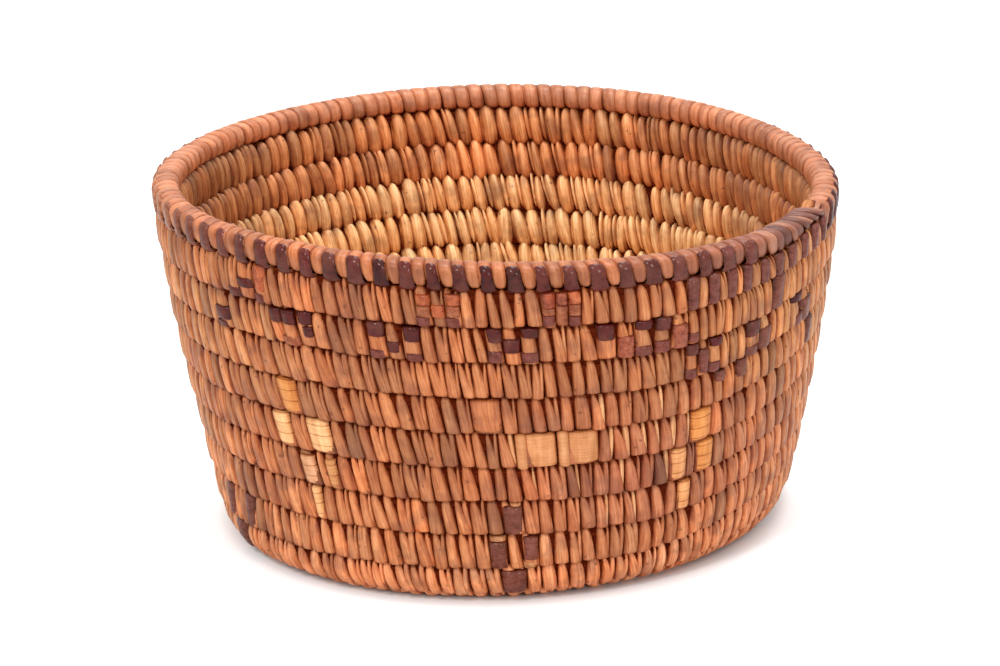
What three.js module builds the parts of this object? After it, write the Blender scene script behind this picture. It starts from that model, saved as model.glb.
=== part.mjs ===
// A coiled, sewn basket. One long bundle of split root winds in a spiral from the middle of
// the base to the rim, and every turn of it is sewn to the turn before with close stitches.
// Strips of bark and grass are folded under the stitches on the outside as a pattern.
// Millimetres and radians, +Z up. The front, where the coil ends, faces -Y.

import * as THREE from 'three';

const degrees = THREE.MathUtils.degToRad;

// Outline of the basket, on its outside
const basketHeight = 114.5;
const rimRadius = 110;
const footRadius = 80;
const footCurveRadius = 13;
const footLean = degrees(13);
const wallThickness = 10;

// Coil: its rounds from the middle of the base up to the rim turn, which is lower than the
// rest, and how many courses the wall has below that turn
const coilRounds = 16.59;
const wallCourses = 9;
const rimCourseHeight = 7.8;
const stitchThickness = 1.5;
const sewingGap = 0.3;

// Where the coil ends and where each turn steps up, measured to the right from the front
const endAngle = degrees(65);
const stepAngle = degrees(20);
const stepLength = degrees(60);
const endTaper = degrees(19);
const endTipHeight = 2.5;
const step_share = 0.85;
const start_turn_share = 0.8;

// Hand-made unevenness of the rim, which fades to nothing at the foot
const rimOval = 2.2;
const rimOvalAngle = degrees(-45);
const rimEgg = 2.6;
const rimEggAngle = degrees(-37);
const rimDip = 1.8;
const rimWave = 0.8;
const rimWaveAngle = degrees(21);

// The foot is oval the other way, up to a height above which only the rim's shape counts
const footOval = 2.2;
const footOvalAngle = degrees(-135);
const footOvalHeight = 28;

// Section of one sewn turn, as depths at its edges and shares of its half height. Outside,
// the foot of the stitches stands out like a shingle and their head dives under the next
// turn. Inside, the head stands out and the foot dives.
const outerFootDepth = 1;
const outerBendDepth = 0.35;
const outerHeadDepth = 2.2;
const outer_foot_share = 0.86;
const outer_bend_share = 0.2;
const innerFootDepth = 2.9;
const innerBendDepth = 0.4;
const innerHeadDepth = 1.6;
const inner_bend_share = 0.2;
const inner_head_share = 0.7;
const knotEdgeDepth = 2.6;

// Strips of bark and grass under the stitches
const stripThickness = 0.9;
const strip_head_share = 0.7;
const beadingStart = degrees(32);
const beadingEnd = degrees(46);

// Fineness of the spiral
const stepsPerTurn = 28;
const longFirstStep = 2;

// Sizes worked out from the ones above
const fullTurn = 2 * Math.PI;
const wallFootRadius = footRadius + footCurveRadius * Math.cos(footLean);
const wallFootHeight = footCurveRadius * (1 - Math.sin(footLean));
const wallFootArc = footRadius + footCurveRadius * (Math.PI / 2 - footLean);
const wallRise = basketHeight - wallFootHeight;
const wallSpread = rimRadius - wallFootRadius;
const wall_bow_share = Math.tan(footLean) * wallRise / wallSpread - 1;
const topArc = wallFootArc + wallRise;
const coilPitch = (topArc - rimCourseHeight) / coilRounds;
const rimTurnAtFront = coilRounds - step_share * stepAngle / fullTurn;
const coilTurns = rimTurnAtFront + endAngle / fullTurn;
const lastStepTurn = rimTurnAtFront + stepAngle / fullTurn;
const spiralSteps = Math.floor((coilTurns - start_turn_share) * stepsPerTurn);
const startTurn = coilTurns - spiralSteps / stepsPerTurn;

// Outline of the basket, followed along its arc from the middle of the base: flat, then a
// round foot, then a wall that leans out and straightens towards the rim.
function outline(arc) {
  if (arc < footRadius) {
    return { radius: arc, height: 0, outward: 0, upward: -1 };
  }
  if (arc < wallFootArc) {
    const bend = (arc - footRadius) / footCurveRadius;
    return {
      radius: footRadius + footCurveRadius * Math.sin(bend),
      height: footCurveRadius * (1 - Math.cos(bend)),
      outward: Math.sin(bend),
      upward: -Math.cos(bend),
    };
  }
  const rise = (arc - wallFootArc) / wallRise;
  const spread = (1 + wall_bow_share) * rise - wall_bow_share * rise * rise;
  const slope = wallSpread * (1 + wall_bow_share - 2 * wall_bow_share * rise) / wallRise;
  const length = Math.hypot(1, slope);
  return {
    radius: wallFootRadius + wallSpread * spread,
    height: wallFootHeight + wallRise * rise,
    outward: 1 / length,
    upward: -slope / length,
  };
}

// A point of the basket: the angle round it, the arc along its outline, and the depth
// inwards from the outside. The rim's unevenness is added in proportion to the height, and
// the foot's fades out with the height.
function basketPoint(angle, arc, depth) {
  const line = outline(arc);
  const level = line.height - depth * line.upward;
  const unevenness = level / basketHeight;
  const round = rimOval * Math.cos(2 * (angle - rimOvalAngle)) + rimEgg * Math.cos(3 * (angle - rimEggAngle));
  const lift = rimWave * Math.cos(2 * (angle - rimWaveAngle)) - rimDip * Math.cos(angle);
  const low_share = (1 - ease(level / footOvalHeight)) * line.radius / wallFootRadius;
  const footRound = low_share * footOval * Math.cos(2 * (angle - footOvalAngle));
  const radius = line.radius - depth * line.outward + unevenness * round + footRound;
  const height = level + unevenness * lift;
  return new THREE.Vector3(radius * Math.cos(angle), radius * Math.sin(angle), height);
}

// Half a cosine wave from 0 to 1
function ease(progress) {
  const held = THREE.MathUtils.clamp(progress, 0, 1);
  return (1 - Math.cos(Math.PI * held)) / 2;
}

function angleAt(turn) {
  return endAngle - fullTurn / 4 + fullTurn * (turn - coilTurns);
}

// Arc of the edge between two neighbouring turns. The spiral climbs steadily on the base. On
// the wall it stays nearly level and steps up at the front right, below the coil's end.
function courseEdge(turn) {
  if (turn > coilTurns) {
    return topArc;
  }
  const sinceStep = turn - lastStepTurn;
  const part = sinceStep - Math.floor(sinceStep);
  const settled = ease(turn * coilPitch / footRadius);
  const steady = coilPitch * (turn - settled * step_share * part);
  if (sinceStep < 0) {
    return steady + coilPitch * settled * step_share * ease(part * fullTurn / stepLength);
  }
  const tapered = ease(1 - (coilTurns - turn) * fullTurn / endTaper);
  return steady + (topArc - endTipHeight - steady) * tapered;
}

// Middle and half height of the coil's section at a turn, along the outline
function courseSpan(turn) {
  const roundingSlack = 1e-9;
  const lower = courseEdge(turn) + sewingGap / 2;
  const above = turn + 1 > coilTurns + roundingSlack ? topArc : courseEdge(Math.min(turn + 1, coilTurns));
  const upper = above - sewingGap / 2;
  return { middle: (lower + upper) / 2, half: (upper - lower) / 2 };
}

// Rings of points round the coil's section. Each place is an arc from the section's middle
// and a depth from the outside.
function ring(turn, places) {
  const { middle } = courseSpan(turn);
  return places.map(([arc, depth]) => basketPoint(angleAt(turn), middle + arc, depth));
}

function stitchingRing(turn) {
  const { half } = courseSpan(turn);
  return ring(turn, [
    [-half, outerFootDepth],
    [-half * outer_foot_share, 0],
    [half * outer_bend_share, outerBendDepth],
    [half, outerHeadDepth],
    [half, wallThickness - innerHeadDepth],
    [half * inner_head_share, wallThickness],
    [-half * inner_bend_share, wallThickness - innerBendDepth],
    [-half, wallThickness - innerFootDepth],
  ]);
}

// The bundle, and the hollow that it fills, are six-sided and lie under a cover of stitches
function bundleRing(turn, cover) {
  const bundleHalf = courseSpan(turn).half - cover;
  return ring(turn, [
    [-bundleHalf / 2, cover],
    [bundleHalf / 2, cover],
    [bundleHalf, wallThickness / 2],
    [bundleHalf / 2, wallThickness - cover],
    [-bundleHalf / 2, wallThickness - cover],
    [-bundleHalf, wallThickness / 2],
  ]);
}

function boreRing(turn) {
  return bundleRing(turn, stitchThickness);
}

function foundationRing(turn) {
  return bundleRing(turn, stitchThickness + sewingGap);
}

// The spiral's steps are chords. This gives a ring at any turn, lying on its chord.
function ringOnChord(turn, makeRing) {
  const stepsToEnd = (coilTurns - turn) * stepsPerTurn;
  let after = Math.floor(stepsToEnd);
  let before = after + 1;
  if (before > spiralSteps - longFirstStep) {
    after = spiralSteps - longFirstStep;
    before = spiralSteps;
  }
  const near = makeRing(coilTurns - after / stepsPerTurn);
  const far = makeRing(coilTurns - before / stepsPerTurn);
  const progress = (stepsToEnd - after) / (before - after);
  return near.map((point, i) => point.lerp(far[i], progress));
}

// Turns at which a stretch of the coil has a ring: its ends, and the steps between them
function turnsBetween(from, to) {
  const turns = [from];
  const closest = 0.01 / stepsPerTurn;
  for (let step = spiralSteps - longFirstStep; step >= 0; step -= 1) {
    const turn = coilTurns - step / stepsPerTurn;
    if (turn > from + closest && turn < to - closest) {
      turns.push(turn);
    }
  }
  turns.push(to);
  return turns;
}

// Half of the gap between two sewn stretches, as a part of a turn
function halfGapAt(turn) {
  return sewingGap / 2 / (fullTurn * outline(courseSpan(turn).middle).radius);
}

// The same triangles, facing the other way
function turnedRound(triangles) {
  return triangles.map(([a, b, c]) => [a, c, b]);
}

// Triangles between two rings of the same number of points. Rings run up the outside of the
// section and down its inside. The diagonals are mirrored on the way down, so that the sides
// of neighbouring turns, which face each other, bend alike.
function skin(ringA, ringB) {
  return ringA.flatMap((point, i) => {
    const next = (i + 1) % ringA.length;
    if (i > ringA.length / 2) {
      return [[point, ringA[next], ringB[i]], [ringA[next], ringB[next], ringB[i]]];
    }
    return [[point, ringA[next], ringB[next]], [point, ringB[next], ringB[i]]];
  });
}

// Triangles along a whole row of rings
function skinAlong(rings) {
  return rings.slice(0, -1).flatMap((points, i) => skin(points, rings[i + 1]));
}

// The flat end of a solid stretch, closing its first ring
function startCap(points) {
  return points.slice(1, -1).map((point, i) => [points[0], points[i + 2], point]);
}

function endCap(points) {
  return turnedRound(startCap(points));
}

// The flat start of a hollow stretch, zipped together from its outer ring and its bore's.
// Each triangle takes the shorter way across.
function hollowStart(outer, bore) {
  const triangles = [];
  let o = 0;
  let b = 0;
  while (o < outer.length || b < bore.length) {
    const outerPoint = outer[o % outer.length];
    const nextOuter = outer[(o + 1) % outer.length];
    const borePoint = bore[b % bore.length];
    const nextBore = bore[(b + 1) % bore.length];
    const outerIsNearer = nextOuter.distanceTo(borePoint) < outerPoint.distanceTo(nextBore);
    if (b === bore.length || (o < outer.length && outerIsNearer)) {
      triangles.push([borePoint, nextOuter, outerPoint]);
      o += 1;
    } else {
      triangles.push([borePoint, nextBore, outerPoint]);
      b += 1;
    }
  }
  return triangles;
}

// One closed body from its triangles, with its faces pointing out
function body(triangles) {
  let sixVolumes = 0;
  triangles.forEach(([a, b, c]) => {
    sixVolumes += a.dot(new THREE.Vector3().crossVectors(b, c));
  });
  const facing = sixVolumes < 0 ? turnedRound(triangles) : triangles;
  const geometry = new THREE.BufferGeometry().setFromPoints(facing.flat());
  geometry.computeVertexNormals();
  return geometry;
}

function solidStretch(rings) {
  return body([...skinAlong(rings), ...startCap(rings[0]), ...endCap(rings.at(-1))]);
}

// Stitching round one stretch of the coil, hollow where the foundation runs through it. The
// stretch that ends the coil has no hollow in its last step, where it tapers out.
function hollowStretch(turns, endsCoil) {
  const outer = turns.map((turn) => ringOnChord(turn, stitchingRing));
  const boreTurns = endsCoil ? turns.slice(0, -1) : turns;
  const bore = boreTurns.map((turn) => ringOnChord(turn, boreRing));
  const lastOuter = outer.at(-1);
  const lastBore = bore.at(-1);
  const end = endsCoil
    ? [...endCap(lastOuter), ...startCap(lastBore)]
    : turnedRound(hollowStart(lastOuter, lastBore));
  return body([...skinAlong(outer), ...turnedRound(skinAlong(bore)), ...hollowStart(outer[0], bore[0]), ...end]);
}

// A strip of bark or grass, bent over the outer face of a turn from the foot of its stitches
// nearly to their head
function faceStrip(from, to) {
  const stripRing = (turn) => {
    const points = ringOnChord(turn, stitchingRing);
    const [foot, bend, edge] = points.slice(1, 4);
    const head = bend.clone().lerp(edge, strip_head_share);
    const outwards = foot.clone().add(bend).sub(points[5]).sub(points[6]).normalize();
    const raised = (point, out) => point.clone().addScaledVector(outwards, out);
    const outside = sewingGap + stripThickness;
    return [
      raised(bend, sewingGap),
      raised(foot, sewingGap),
      raised(foot, outside),
      raised(bend, outside),
      raised(head, outside),
      raised(head, sewingGap),
    ];
  };
  return solidStretch(turnsBetween(from, to).map(stripRing));
}

// The tight start of the coil: a snail-shaped button that the first turn winds round
function startingKnot() {
  const knotRing = (turn, angle) => {
    const edge = courseEdge(turn) - sewingGap / 2;
    return [
      basketPoint(angle, edge - knotEdgeDepth, 0),
      basketPoint(angle, edge, knotEdgeDepth),
      basketPoint(angle, edge, wallThickness - knotEdgeDepth),
      basketPoint(angle, edge - knotEdgeDepth, wallThickness),
    ];
  };
  const stepFaceAngle = angleAt(startTurn - halfGapAt(startTurn));
  const turns = turnsBetween(startTurn, startTurn + 1);
  const rings = turns.map((turn) => knotRing(turn, angleAt(turn)));
  rings[0] = knotRing(startTurn, stepFaceAngle);
  rings[rings.length - 1] = knotRing(startTurn + 1, stepFaceAngle);
  const below = basketPoint(0, 0, 0);
  const above = basketPoint(0, 0, wallThickness);
  const triangles = [];
  rings.forEach((points, i) => {
    const next = rings[(i + 1) % rings.length];
    for (let k = 0; k < points.length - 1; k += 1) {
      triangles.push([points[k], next[k], next[k + 1]], [points[k], next[k + 1], points[k + 1]]);
    }
    triangles.push([below, next[0], points[0]], [above, points.at(-1), next.at(-1)]);
  });
  return body(triangles.filter(([a, b, c]) => a.distanceTo(b) * b.distanceTo(c) * c.distanceTo(a) > 0));
}

const group = new THREE.Group();

function addPiece(name, geometry, { colour, roughness }) {
  const material = new THREE.MeshStandardMaterial({ color: colour, roughness, metalness: 0 });
  const mesh = new THREE.Mesh(geometry, material);
  mesh.name = name;
  group.add(mesh);
}

// Finishes of the plant fibres
const foundationRoot = { colour: 0xc89a6b, roughness: 0.9 };
const sewingRoot = { colour: 0xb0713f, roughness: 0.6 };
const rimRoot = { colour: 0xa5613a, roughness: 0.55 };
const darkBark = { colour: 0x4f231d, roughness: 0.3 };
const redBark = { colour: 0xa24a2a, roughness: 0.4 };
const paleGrass = { colour: 0xe0ac6c, roughness: 0.5 };
const tanGrass = { colour: 0xb98858, roughness: 0.6 };

// The foundation: one bundle through every course, from the starting knot to the thin end
const foundationFrom = startTurn + halfGapAt(startTurn);
const foundationTo = coilTurns - 1 / stepsPerTurn - halfGapAt(coilTurns - 1);
const foundationTurns = turnsBetween(foundationFrom, foundationTo);
const foundationRings = foundationTurns.map((turn) => ringOnChord(turn, foundationRing));
addPiece('foundation_coil', solidStretch(foundationRings), foundationRoot);
addPiece('base_starting_knot', startingKnot(), sewingRoot);

// Stitching: one piece for each course, from the middle of the base up to the rim
const wholeCourses = Math.floor(coilTurns - startTurn);
const courseEnds = [startTurn];
for (let course = wholeCourses; course >= 0; course -= 1) {
  if (coilTurns - course > startTurn + 1 / stepsPerTurn) {
    courseEnds.push(coilTurns - course);
  }
}
const rimCourse = courseEnds.length - 2;
const baseCourses = rimCourse - wallCourses;
for (let i = 0; i <= rimCourse; i += 1) {
  const endsCoil = i === rimCourse;
  const from = courseEnds[i] + halfGapAt(courseEnds[i]);
  const to = courseEnds[i + 1] - halfGapAt(courseEnds[i + 1] - 1 / stepsPerTurn);
  const geometry = hollowStretch(turnsBetween(from, to), endsCoil);
  if (endsCoil) {
    addPiece('rim_overcasting', geometry, rimRoot);
  } else if (i < baseCourses) {
    addPiece(`base_stitching_${i + 1}`, geometry, sewingRoot);
  } else {
    addPiece(`wall_stitching_${i + 1 - baseCourses}`, geometry, sewingRoot);
  }
}

// Turn of the coil at an angle to the right of the front, in a course counted down from the
// rim. The rim is course 0.
function turnInCourse(course, angle) {
  return coilTurns - course - (endAngle - angle) / fullTurn;
}

// A strip of bark beads the last turn, from where it is still the course below the rim
const beadingFrom = turnInCourse(1, beadingStart);
const beadingTo = turnInCourse(0, beadingEnd);
addPiece('rim_beading_strip', faceStrip(beadingFrom, beadingTo), darkBark);

// Tabs folded under the stitches: course below the rim, then the left and right edge in
// degrees to the right of the front.
const tabs = {
  red_tab: [redBark, [
    [1, -50.4, -48.0], [1, -47.6, -45.2], [1, -44.8, -42.4],
    [1, -13.3, -11.2], [1, -11.0, -8.9], [1, -8.7, -6.6],
    [1, 6.1, 8.1], [1, 8.4, 10.4], [1, 10.7, 12.7],
  ]],
  dark_check: [darkBark, [
    [2, -54.5, -51.3], [2, -38.4, -33.4], [2, -22.1, -19.1], [2, -16.0, -13.5],
    [2, -2.4, -0.4], [2, 3.1, 5.6], [2, 15.0, 17.9], [2, 21.4, 24.8],
  ]],
  dark_diamond_tab: [darkBark, [
    [7, -0.4, 2.8], [8, -3.2, -0.3], [8, 3.1, 5.6], [9, -0.9, 3.6],
    [8, -68.2, -64.4], [8, -62.1, -59.0], [9, -67.2, -62.1],
  ]],
  pale_diamond_tab: [paleGrass, [
    [4, -42.1, -38.0], [5, -44.2, -40.1], [5, -37.0, -32.5],
    [6, -39.0, -35.4], [6, -34.0, -31.7], [7, -38.0, -36.0],
    [5, 33.4, 37.4], [6, 30.2, 33.4], [6, 35.8, 38.9], [7, 32.6, 34.5],
  ]],
  wide_plate: [tanGrass, [
    [5, 2.1, 9.0], [5, 9.3, 16.5], [4, -5.4, -0.4],
  ]],
};
for (const [name, [finish, places]] of Object.entries(tabs)) {
  places.forEach(([course, left, right], i) => {
    const from = turnInCourse(course, degrees(left));
    const to = turnInCourse(course, degrees(right));
    addPiece(`${name}_${i + 1}`, faceStrip(from, to), finish);
  });
}

// Least distance between points of neighbouring turns of the foundation
function leastSelfGap() {
  let least = Infinity;
  foundationTurns.forEach((turn, i) => {
    foundationTurns.forEach((other, k) => {
      if (other - turn > 0.5 && other - turn < 1.5) {
        foundationRings[i].forEach((a) => foundationRings[k].forEach((b) => {
          least = Math.min(least, a.distanceTo(b));
        }));
      }
    });
  });
  return least;
}
console.log(`foundation: ${(foundationTo - foundationFrom).toFixed(2)} turns, least gap to itself ${leastSelfGap().toFixed(2)} mm`);

// The origin is the middle of the box round the rim, on the surface that the basket stands on
const rimBox = new THREE.Box3();
for (let step = 0; step < stepsPerTurn; step += 1) {
  rimBox.expandByPoint(basketPoint(angleAt(step / stepsPerTurn), topArc - rimCourseHeight / 2, 0));
}
const rimMiddle = rimBox.getCenter(new THREE.Vector3());
group.position.set(-rimMiddle.x, -rimMiddle.y, 0);

export default group;
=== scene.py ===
# %% [markdown]
# # A coiled basket
#
# The basket is one long bundle of split root, wound in a spiral and sewn to itself. The CAD
# model holds one plain solid for every sewn course. This lesson dresses that frame: each
# stitch, wrap and folded strip of bark becomes a surface of its own, worked out with numpy
# from the same sizes that the solids have. All lengths are in metres, +Z is up, and the
# front of the basket faces -Y.

# %% Load the packed frame
import math

import bpy
import numpy as np
from mathutils import Matrix, Vector


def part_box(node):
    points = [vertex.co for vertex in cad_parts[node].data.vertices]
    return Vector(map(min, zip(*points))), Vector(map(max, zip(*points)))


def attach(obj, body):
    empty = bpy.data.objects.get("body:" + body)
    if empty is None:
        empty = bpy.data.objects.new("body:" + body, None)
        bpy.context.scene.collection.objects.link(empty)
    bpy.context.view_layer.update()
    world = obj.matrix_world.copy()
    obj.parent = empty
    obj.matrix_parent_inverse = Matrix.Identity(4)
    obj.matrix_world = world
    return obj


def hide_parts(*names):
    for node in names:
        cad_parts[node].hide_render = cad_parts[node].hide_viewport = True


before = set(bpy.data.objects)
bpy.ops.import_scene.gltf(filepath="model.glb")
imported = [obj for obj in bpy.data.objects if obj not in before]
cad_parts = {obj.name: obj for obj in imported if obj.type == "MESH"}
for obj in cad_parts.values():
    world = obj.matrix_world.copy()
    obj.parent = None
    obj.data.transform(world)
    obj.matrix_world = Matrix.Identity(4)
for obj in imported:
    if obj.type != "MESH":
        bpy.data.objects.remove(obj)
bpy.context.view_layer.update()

# %% [markdown]
# ## The basket's measures
#
# A basket maker thinks in rounds of the coil. These are the sizes of the outline and of the
# coil, the same as in the CAD source, so that every stitch lies on its own solid. A place on
# the basket is an angle round it, an arc along the outline from the middle of the base, and
# a depth inwards from the outside. The hand-made unevenness of the rim is added to that.

# %% Sizes
MM = 0.001
DEGREE = math.pi / 180
FULL_TURN = 2 * math.pi

# The outline and the wall
basket_height = 114.5 * MM
rim_radius = 110 * MM
foot_radius = 80 * MM
foot_curve_radius = 13 * MM
foot_lean = 13 * DEGREE
wall_thickness = 10 * MM

# How far the hand-made shape departs from a round one
rim_oval = 2.2 * MM
rim_oval_angle = -45 * DEGREE
rim_egg = 2.6 * MM
rim_egg_angle = -37 * DEGREE
rim_wave = 0.8 * MM
rim_wave_angle = 21 * DEGREE
rim_dip = 1.8 * MM
foot_oval = 2.2 * MM
foot_oval_angle = -135 * DEGREE
foot_oval_height = 28 * MM

# The coil and its courses
coil_rounds = 16.59
wall_courses = 9
base_courses = 6
rim_course_height = 7.8 * MM
sewing_gap = 0.3 * MM

# The coil's end and the step of the courses. Angles here are degrees right of the front
end_angle = 65
step_angle = 20
step_length = 60
end_taper = 19
end_tip_height = 2.5 * MM
step_share = 0.85
steps_per_turn = 28
start_turn_share = 0.8

# What follows from these sizes
wall_foot_radius = foot_radius + foot_curve_radius * math.cos(foot_lean)
wall_foot_height = foot_curve_radius * (1 - math.sin(foot_lean))
wall_foot_arc = foot_radius + foot_curve_radius * (math.pi / 2 - foot_lean)
wall_rise = basket_height - wall_foot_height
wall_spread = rim_radius - wall_foot_radius
wall_bow = math.tan(foot_lean) * wall_rise / wall_spread - 1
top_arc = wall_foot_arc + wall_rise
coil_pitch = (top_arc - rim_course_height) / coil_rounds
rim_turn_at_front = coil_rounds - step_share * step_angle / 360
coil_turns = rim_turn_at_front + end_angle / 360
last_step_turn = rim_turn_at_front + step_angle / 360
start_turn = coil_turns - math.floor((coil_turns - start_turn_share) * steps_per_turn) / steps_per_turn
print("coil pitch", round(coil_pitch / MM, 2), "mm,", round(coil_turns, 2), "turns")


# %% Places on the basket
def ease(progress):
    """Half a cosine wave from 0 to 1."""
    return (1 - np.cos(math.pi * np.clip(progress, 0, 1))) / 2


def outline(arc):
    """Radius, height and outward direction on the outside at an arc along the outline.

    Flat out to the foot radius, then a circle arc round the foot, then a wall whose radius
    is a parabola of its height.
    """
    bend = np.clip((arc - foot_radius) / foot_curve_radius, 0, math.pi / 2 - foot_lean)
    rise = (arc - wall_foot_arc) / wall_rise
    slope = wall_spread * (1 + wall_bow - 2 * wall_bow * rise) / wall_rise
    length = np.sqrt(1 + slope**2)
    on_wall = arc > wall_foot_arc
    wall_radius = wall_foot_radius + wall_spread * ((1 + wall_bow) * rise - wall_bow * rise**2)
    foot = np.minimum(arc, foot_radius) + foot_curve_radius * np.sin(bend)
    radius = np.where(on_wall, wall_radius, foot)
    height = np.where(on_wall, wall_foot_height + wall_rise * rise, foot_curve_radius * (1 - np.cos(bend)))
    outward = np.where(on_wall, 1 / length, np.sin(bend))
    upward = np.where(on_wall, -slope / length, -np.cos(bend))
    return radius, height, outward, upward


def uneven_point(angle, arc, depth):
    """Point at an angle, arc and depth, before the basket is centred on its rim.

    The rim is a little oval and egg-shaped, which are cosines of two and three times the
    angle. It also waves, and dips at the right. All of this grows with the height, while the
    foot is oval the other way.
    """
    radius, height, outward, upward = outline(arc)
    level = height - depth * upward
    share = level / basket_height
    swell = rim_oval * np.cos(2 * (angle - rim_oval_angle)) + rim_egg * np.cos(3 * (angle - rim_egg_angle))
    lift = rim_wave * np.cos(2 * (angle - rim_wave_angle)) - rim_dip * np.cos(angle)
    low = (1 - ease(level / foot_oval_height)) * radius / wall_foot_radius
    foot_swell = low * foot_oval * np.cos(2 * (angle - foot_oval_angle))
    reach = radius - depth * outward + share * swell + foot_swell
    return np.stack([reach * np.cos(angle), reach * np.sin(angle), level + share * lift], -1)


def angle_at(turn):
    """Angle round the basket, from +X, at a turn of the coil."""
    return (end_angle - 90) * DEGREE + FULL_TURN * (turn - coil_turns)


ring_angles = angle_at(np.arange(steps_per_turn) / steps_per_turn)
rim_ring = uneven_point(ring_angles, top_arc - rim_course_height / 2, 0)
rim_middle = (rim_ring.min(0) + rim_ring.max(0)) / 2 * [1, 1, 0]


def basket_point(turn, arc, depth):
    """Point at a turn of the coil, an arc along the outline and a depth from the outside."""
    return uneven_point(angle_at(turn), arc, depth) - rim_middle


def course_edge(turn):
    """Arc of the edge between the course at a turn and the one inside or below it.

    A steady spiral on the base. On the wall the courses stay nearly level and step up at the
    front right, and the last course tapers down to the coil's end.
    """
    since_step = turn - last_step_turn
    part = since_step - np.floor(since_step)
    settled = ease(turn * coil_pitch / foot_radius)
    steady = coil_pitch * (turn - settled * step_share * part)
    stepping = steady + coil_pitch * settled * step_share * ease(part * 360 / step_length)
    tapered = ease(1 - (coil_turns - turn) * 360 / end_taper)
    ending = steady + (top_arc - end_tip_height - steady) * tapered
    return np.where(turn > coil_turns, top_arc, np.where(since_step < 0, stepping, ending))


def course_arc(turn, share):
    """Arc at a share of the course's height, 0 at its lower edge and 1 at its upper edge."""
    lower = course_edge(turn)
    return lower + share * (course_edge(turn + 1) - lower)


def turn_in_course(course, angle):
    """Turn of the coil in a course counted down from the rim, degrees right of the front."""
    return coil_turns - course - (end_angle - angle) / 360


rim_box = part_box("rim_overcasting")
rim_left, rim_right = (rim_ring - rim_middle)[:, 0].min(), (rim_ring - rim_middle)[:, 0].max()
print("rim in CAD", round(rim_box[0].x, 4), round(rim_box[1].x, 4))
print("rim here", round(rim_left, 4), round(rim_right, 4))

# %% [markdown]
# ## The camera
#
# The photograph is taken with a long lens from a little above the rim. The camera stands on a
# line through the middle of the rim, is rolled by under two degrees, and aims lower than the
# rim so that the whole basket fits, which needs no lens shift.

# %% Camera
image_width = 1000
image_centre = (500, 333)
camera_distance = 1430 * MM
camera_elevation = 15.8 * DEGREE
camera_roll = 1.72 * DEGREE
focal_pixels = 4474
rim_pixel = (495.8, 167)
rim_middle_height = 114.93 * MM

camera_data = bpy.data.cameras.new("camera")
camera = bpy.data.objects.new("camera", camera_data)
bpy.context.scene.collection.objects.link(camera)
bpy.context.scene.camera = camera
camera_data.sensor_width = 36
camera_data.lens = focal_pixels / image_width * camera_data.sensor_width
camera_data.clip_start = 0.05
camera_data.clip_end = 50
bpy.context.scene.view_settings.view_transform = "Standard"

rim_target = Vector((-rim_middle[0], -rim_middle[1], rim_middle_height))
ahead = Vector((0, math.cos(camera_elevation), -math.sin(camera_elevation)))
level_right = Vector((1, 0, 0))
level_up = level_right.cross(ahead)
right = math.cos(camera_roll) * level_right - math.sin(camera_roll) * level_up
up = math.sin(camera_roll) * level_right + math.cos(camera_roll) * level_up
dip = math.atan((image_centre[1] - rim_pixel[1]) / focal_pixels)
dipped = math.cos(dip) * ahead - math.sin(dip) * up
up = math.cos(dip) * up + math.sin(dip) * ahead
swing = math.atan((image_centre[0] - rim_pixel[0]) / focal_pixels)
aim = math.cos(swing) * dipped + math.sin(swing) * right
right = math.cos(swing) * right - math.sin(swing) * dipped
rotation = Matrix((right, up, -aim)).transposed().to_4x4()
camera.matrix_world = Matrix.Translation(rim_target - camera_distance * ahead) @ rotation
print("camera at", [round(c, 3) for c in camera.matrix_world.translation])
print("lens", round(camera_data.lens, 1), "mm")

# %% [markdown]
# ## Light and floor
#
# The basket was photographed on white, in soft light from above and the front. A key lamp at
# the front left draws the highlights on the bark, a weaker one fills the right side, a wide
# one above lights the bowl, and a pale world fills the rest. Sun lamps would cast hard
# shadows between the stitches, so the lamps are squares of some size. The floor is a white
# sheet that keeps the basket's shadow.

# %% Lamps
lamp_aim = Vector((0, 0, 60 * MM))


def add_lamp(name, place, size, power):
    """A square area lamp that aims at the middle of the basket."""
    data = bpy.data.lights.new(name, "AREA")
    data.shape = "SQUARE"
    data.size = size
    data.energy = power
    lamp = bpy.data.objects.new(name, data)
    bpy.context.scene.collection.objects.link(lamp)
    lamp.location = place
    lamp.rotation_euler = (lamp_aim - Vector(place)).to_track_quat("-Z", "Y").to_euler()
    print(name, "of", power, "W")


add_lamp("key_lamp", (-0.6, -1.3, 1.2), 0.30, 11)
add_lamp("fill_lamp", (0.8, -1.5, 0.6), 0.45, 6)
add_lamp("top_lamp", (0.1, 0.1, 1.8), 1.0, 31)

# %% [markdown]
# ## Shader maths
#
# A material is a tree of nodes. The two classes here let a recipe for a colour be written as
# plain sums and products: a Socket is a value in the tree, and a Finish owns the tree and adds
# its nodes.

# %% Sockets and finishes
class Socket:
    """A shader value. Sums, products and powers of it add the Math nodes they need."""

    def __init__(self, finish, socket):
        self.finish, self.socket = finish, socket

    def maths(self, operation, first, second):
        """The result of a Math node."""
        return self.finish.node("ShaderNodeMath", {"operation": operation}, {0: first, 1: second})["Value"]

    def larger(self, other):
        """The larger of this value and another."""
        return self.maths("MAXIMUM", self, other)

    def __add__(self, other):
        return self.maths("ADD", self, other)

    def __sub__(self, other):
        return self.maths("SUBTRACT", self, other)

    def __rsub__(self, other):
        return self.maths("SUBTRACT", other, self)

    def __mul__(self, other):
        return self.maths("MULTIPLY", self, other)

    def __pow__(self, other):
        return self.maths("POWER", self, other)

    __radd__ = __add__
    __rmul__ = __mul__


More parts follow.
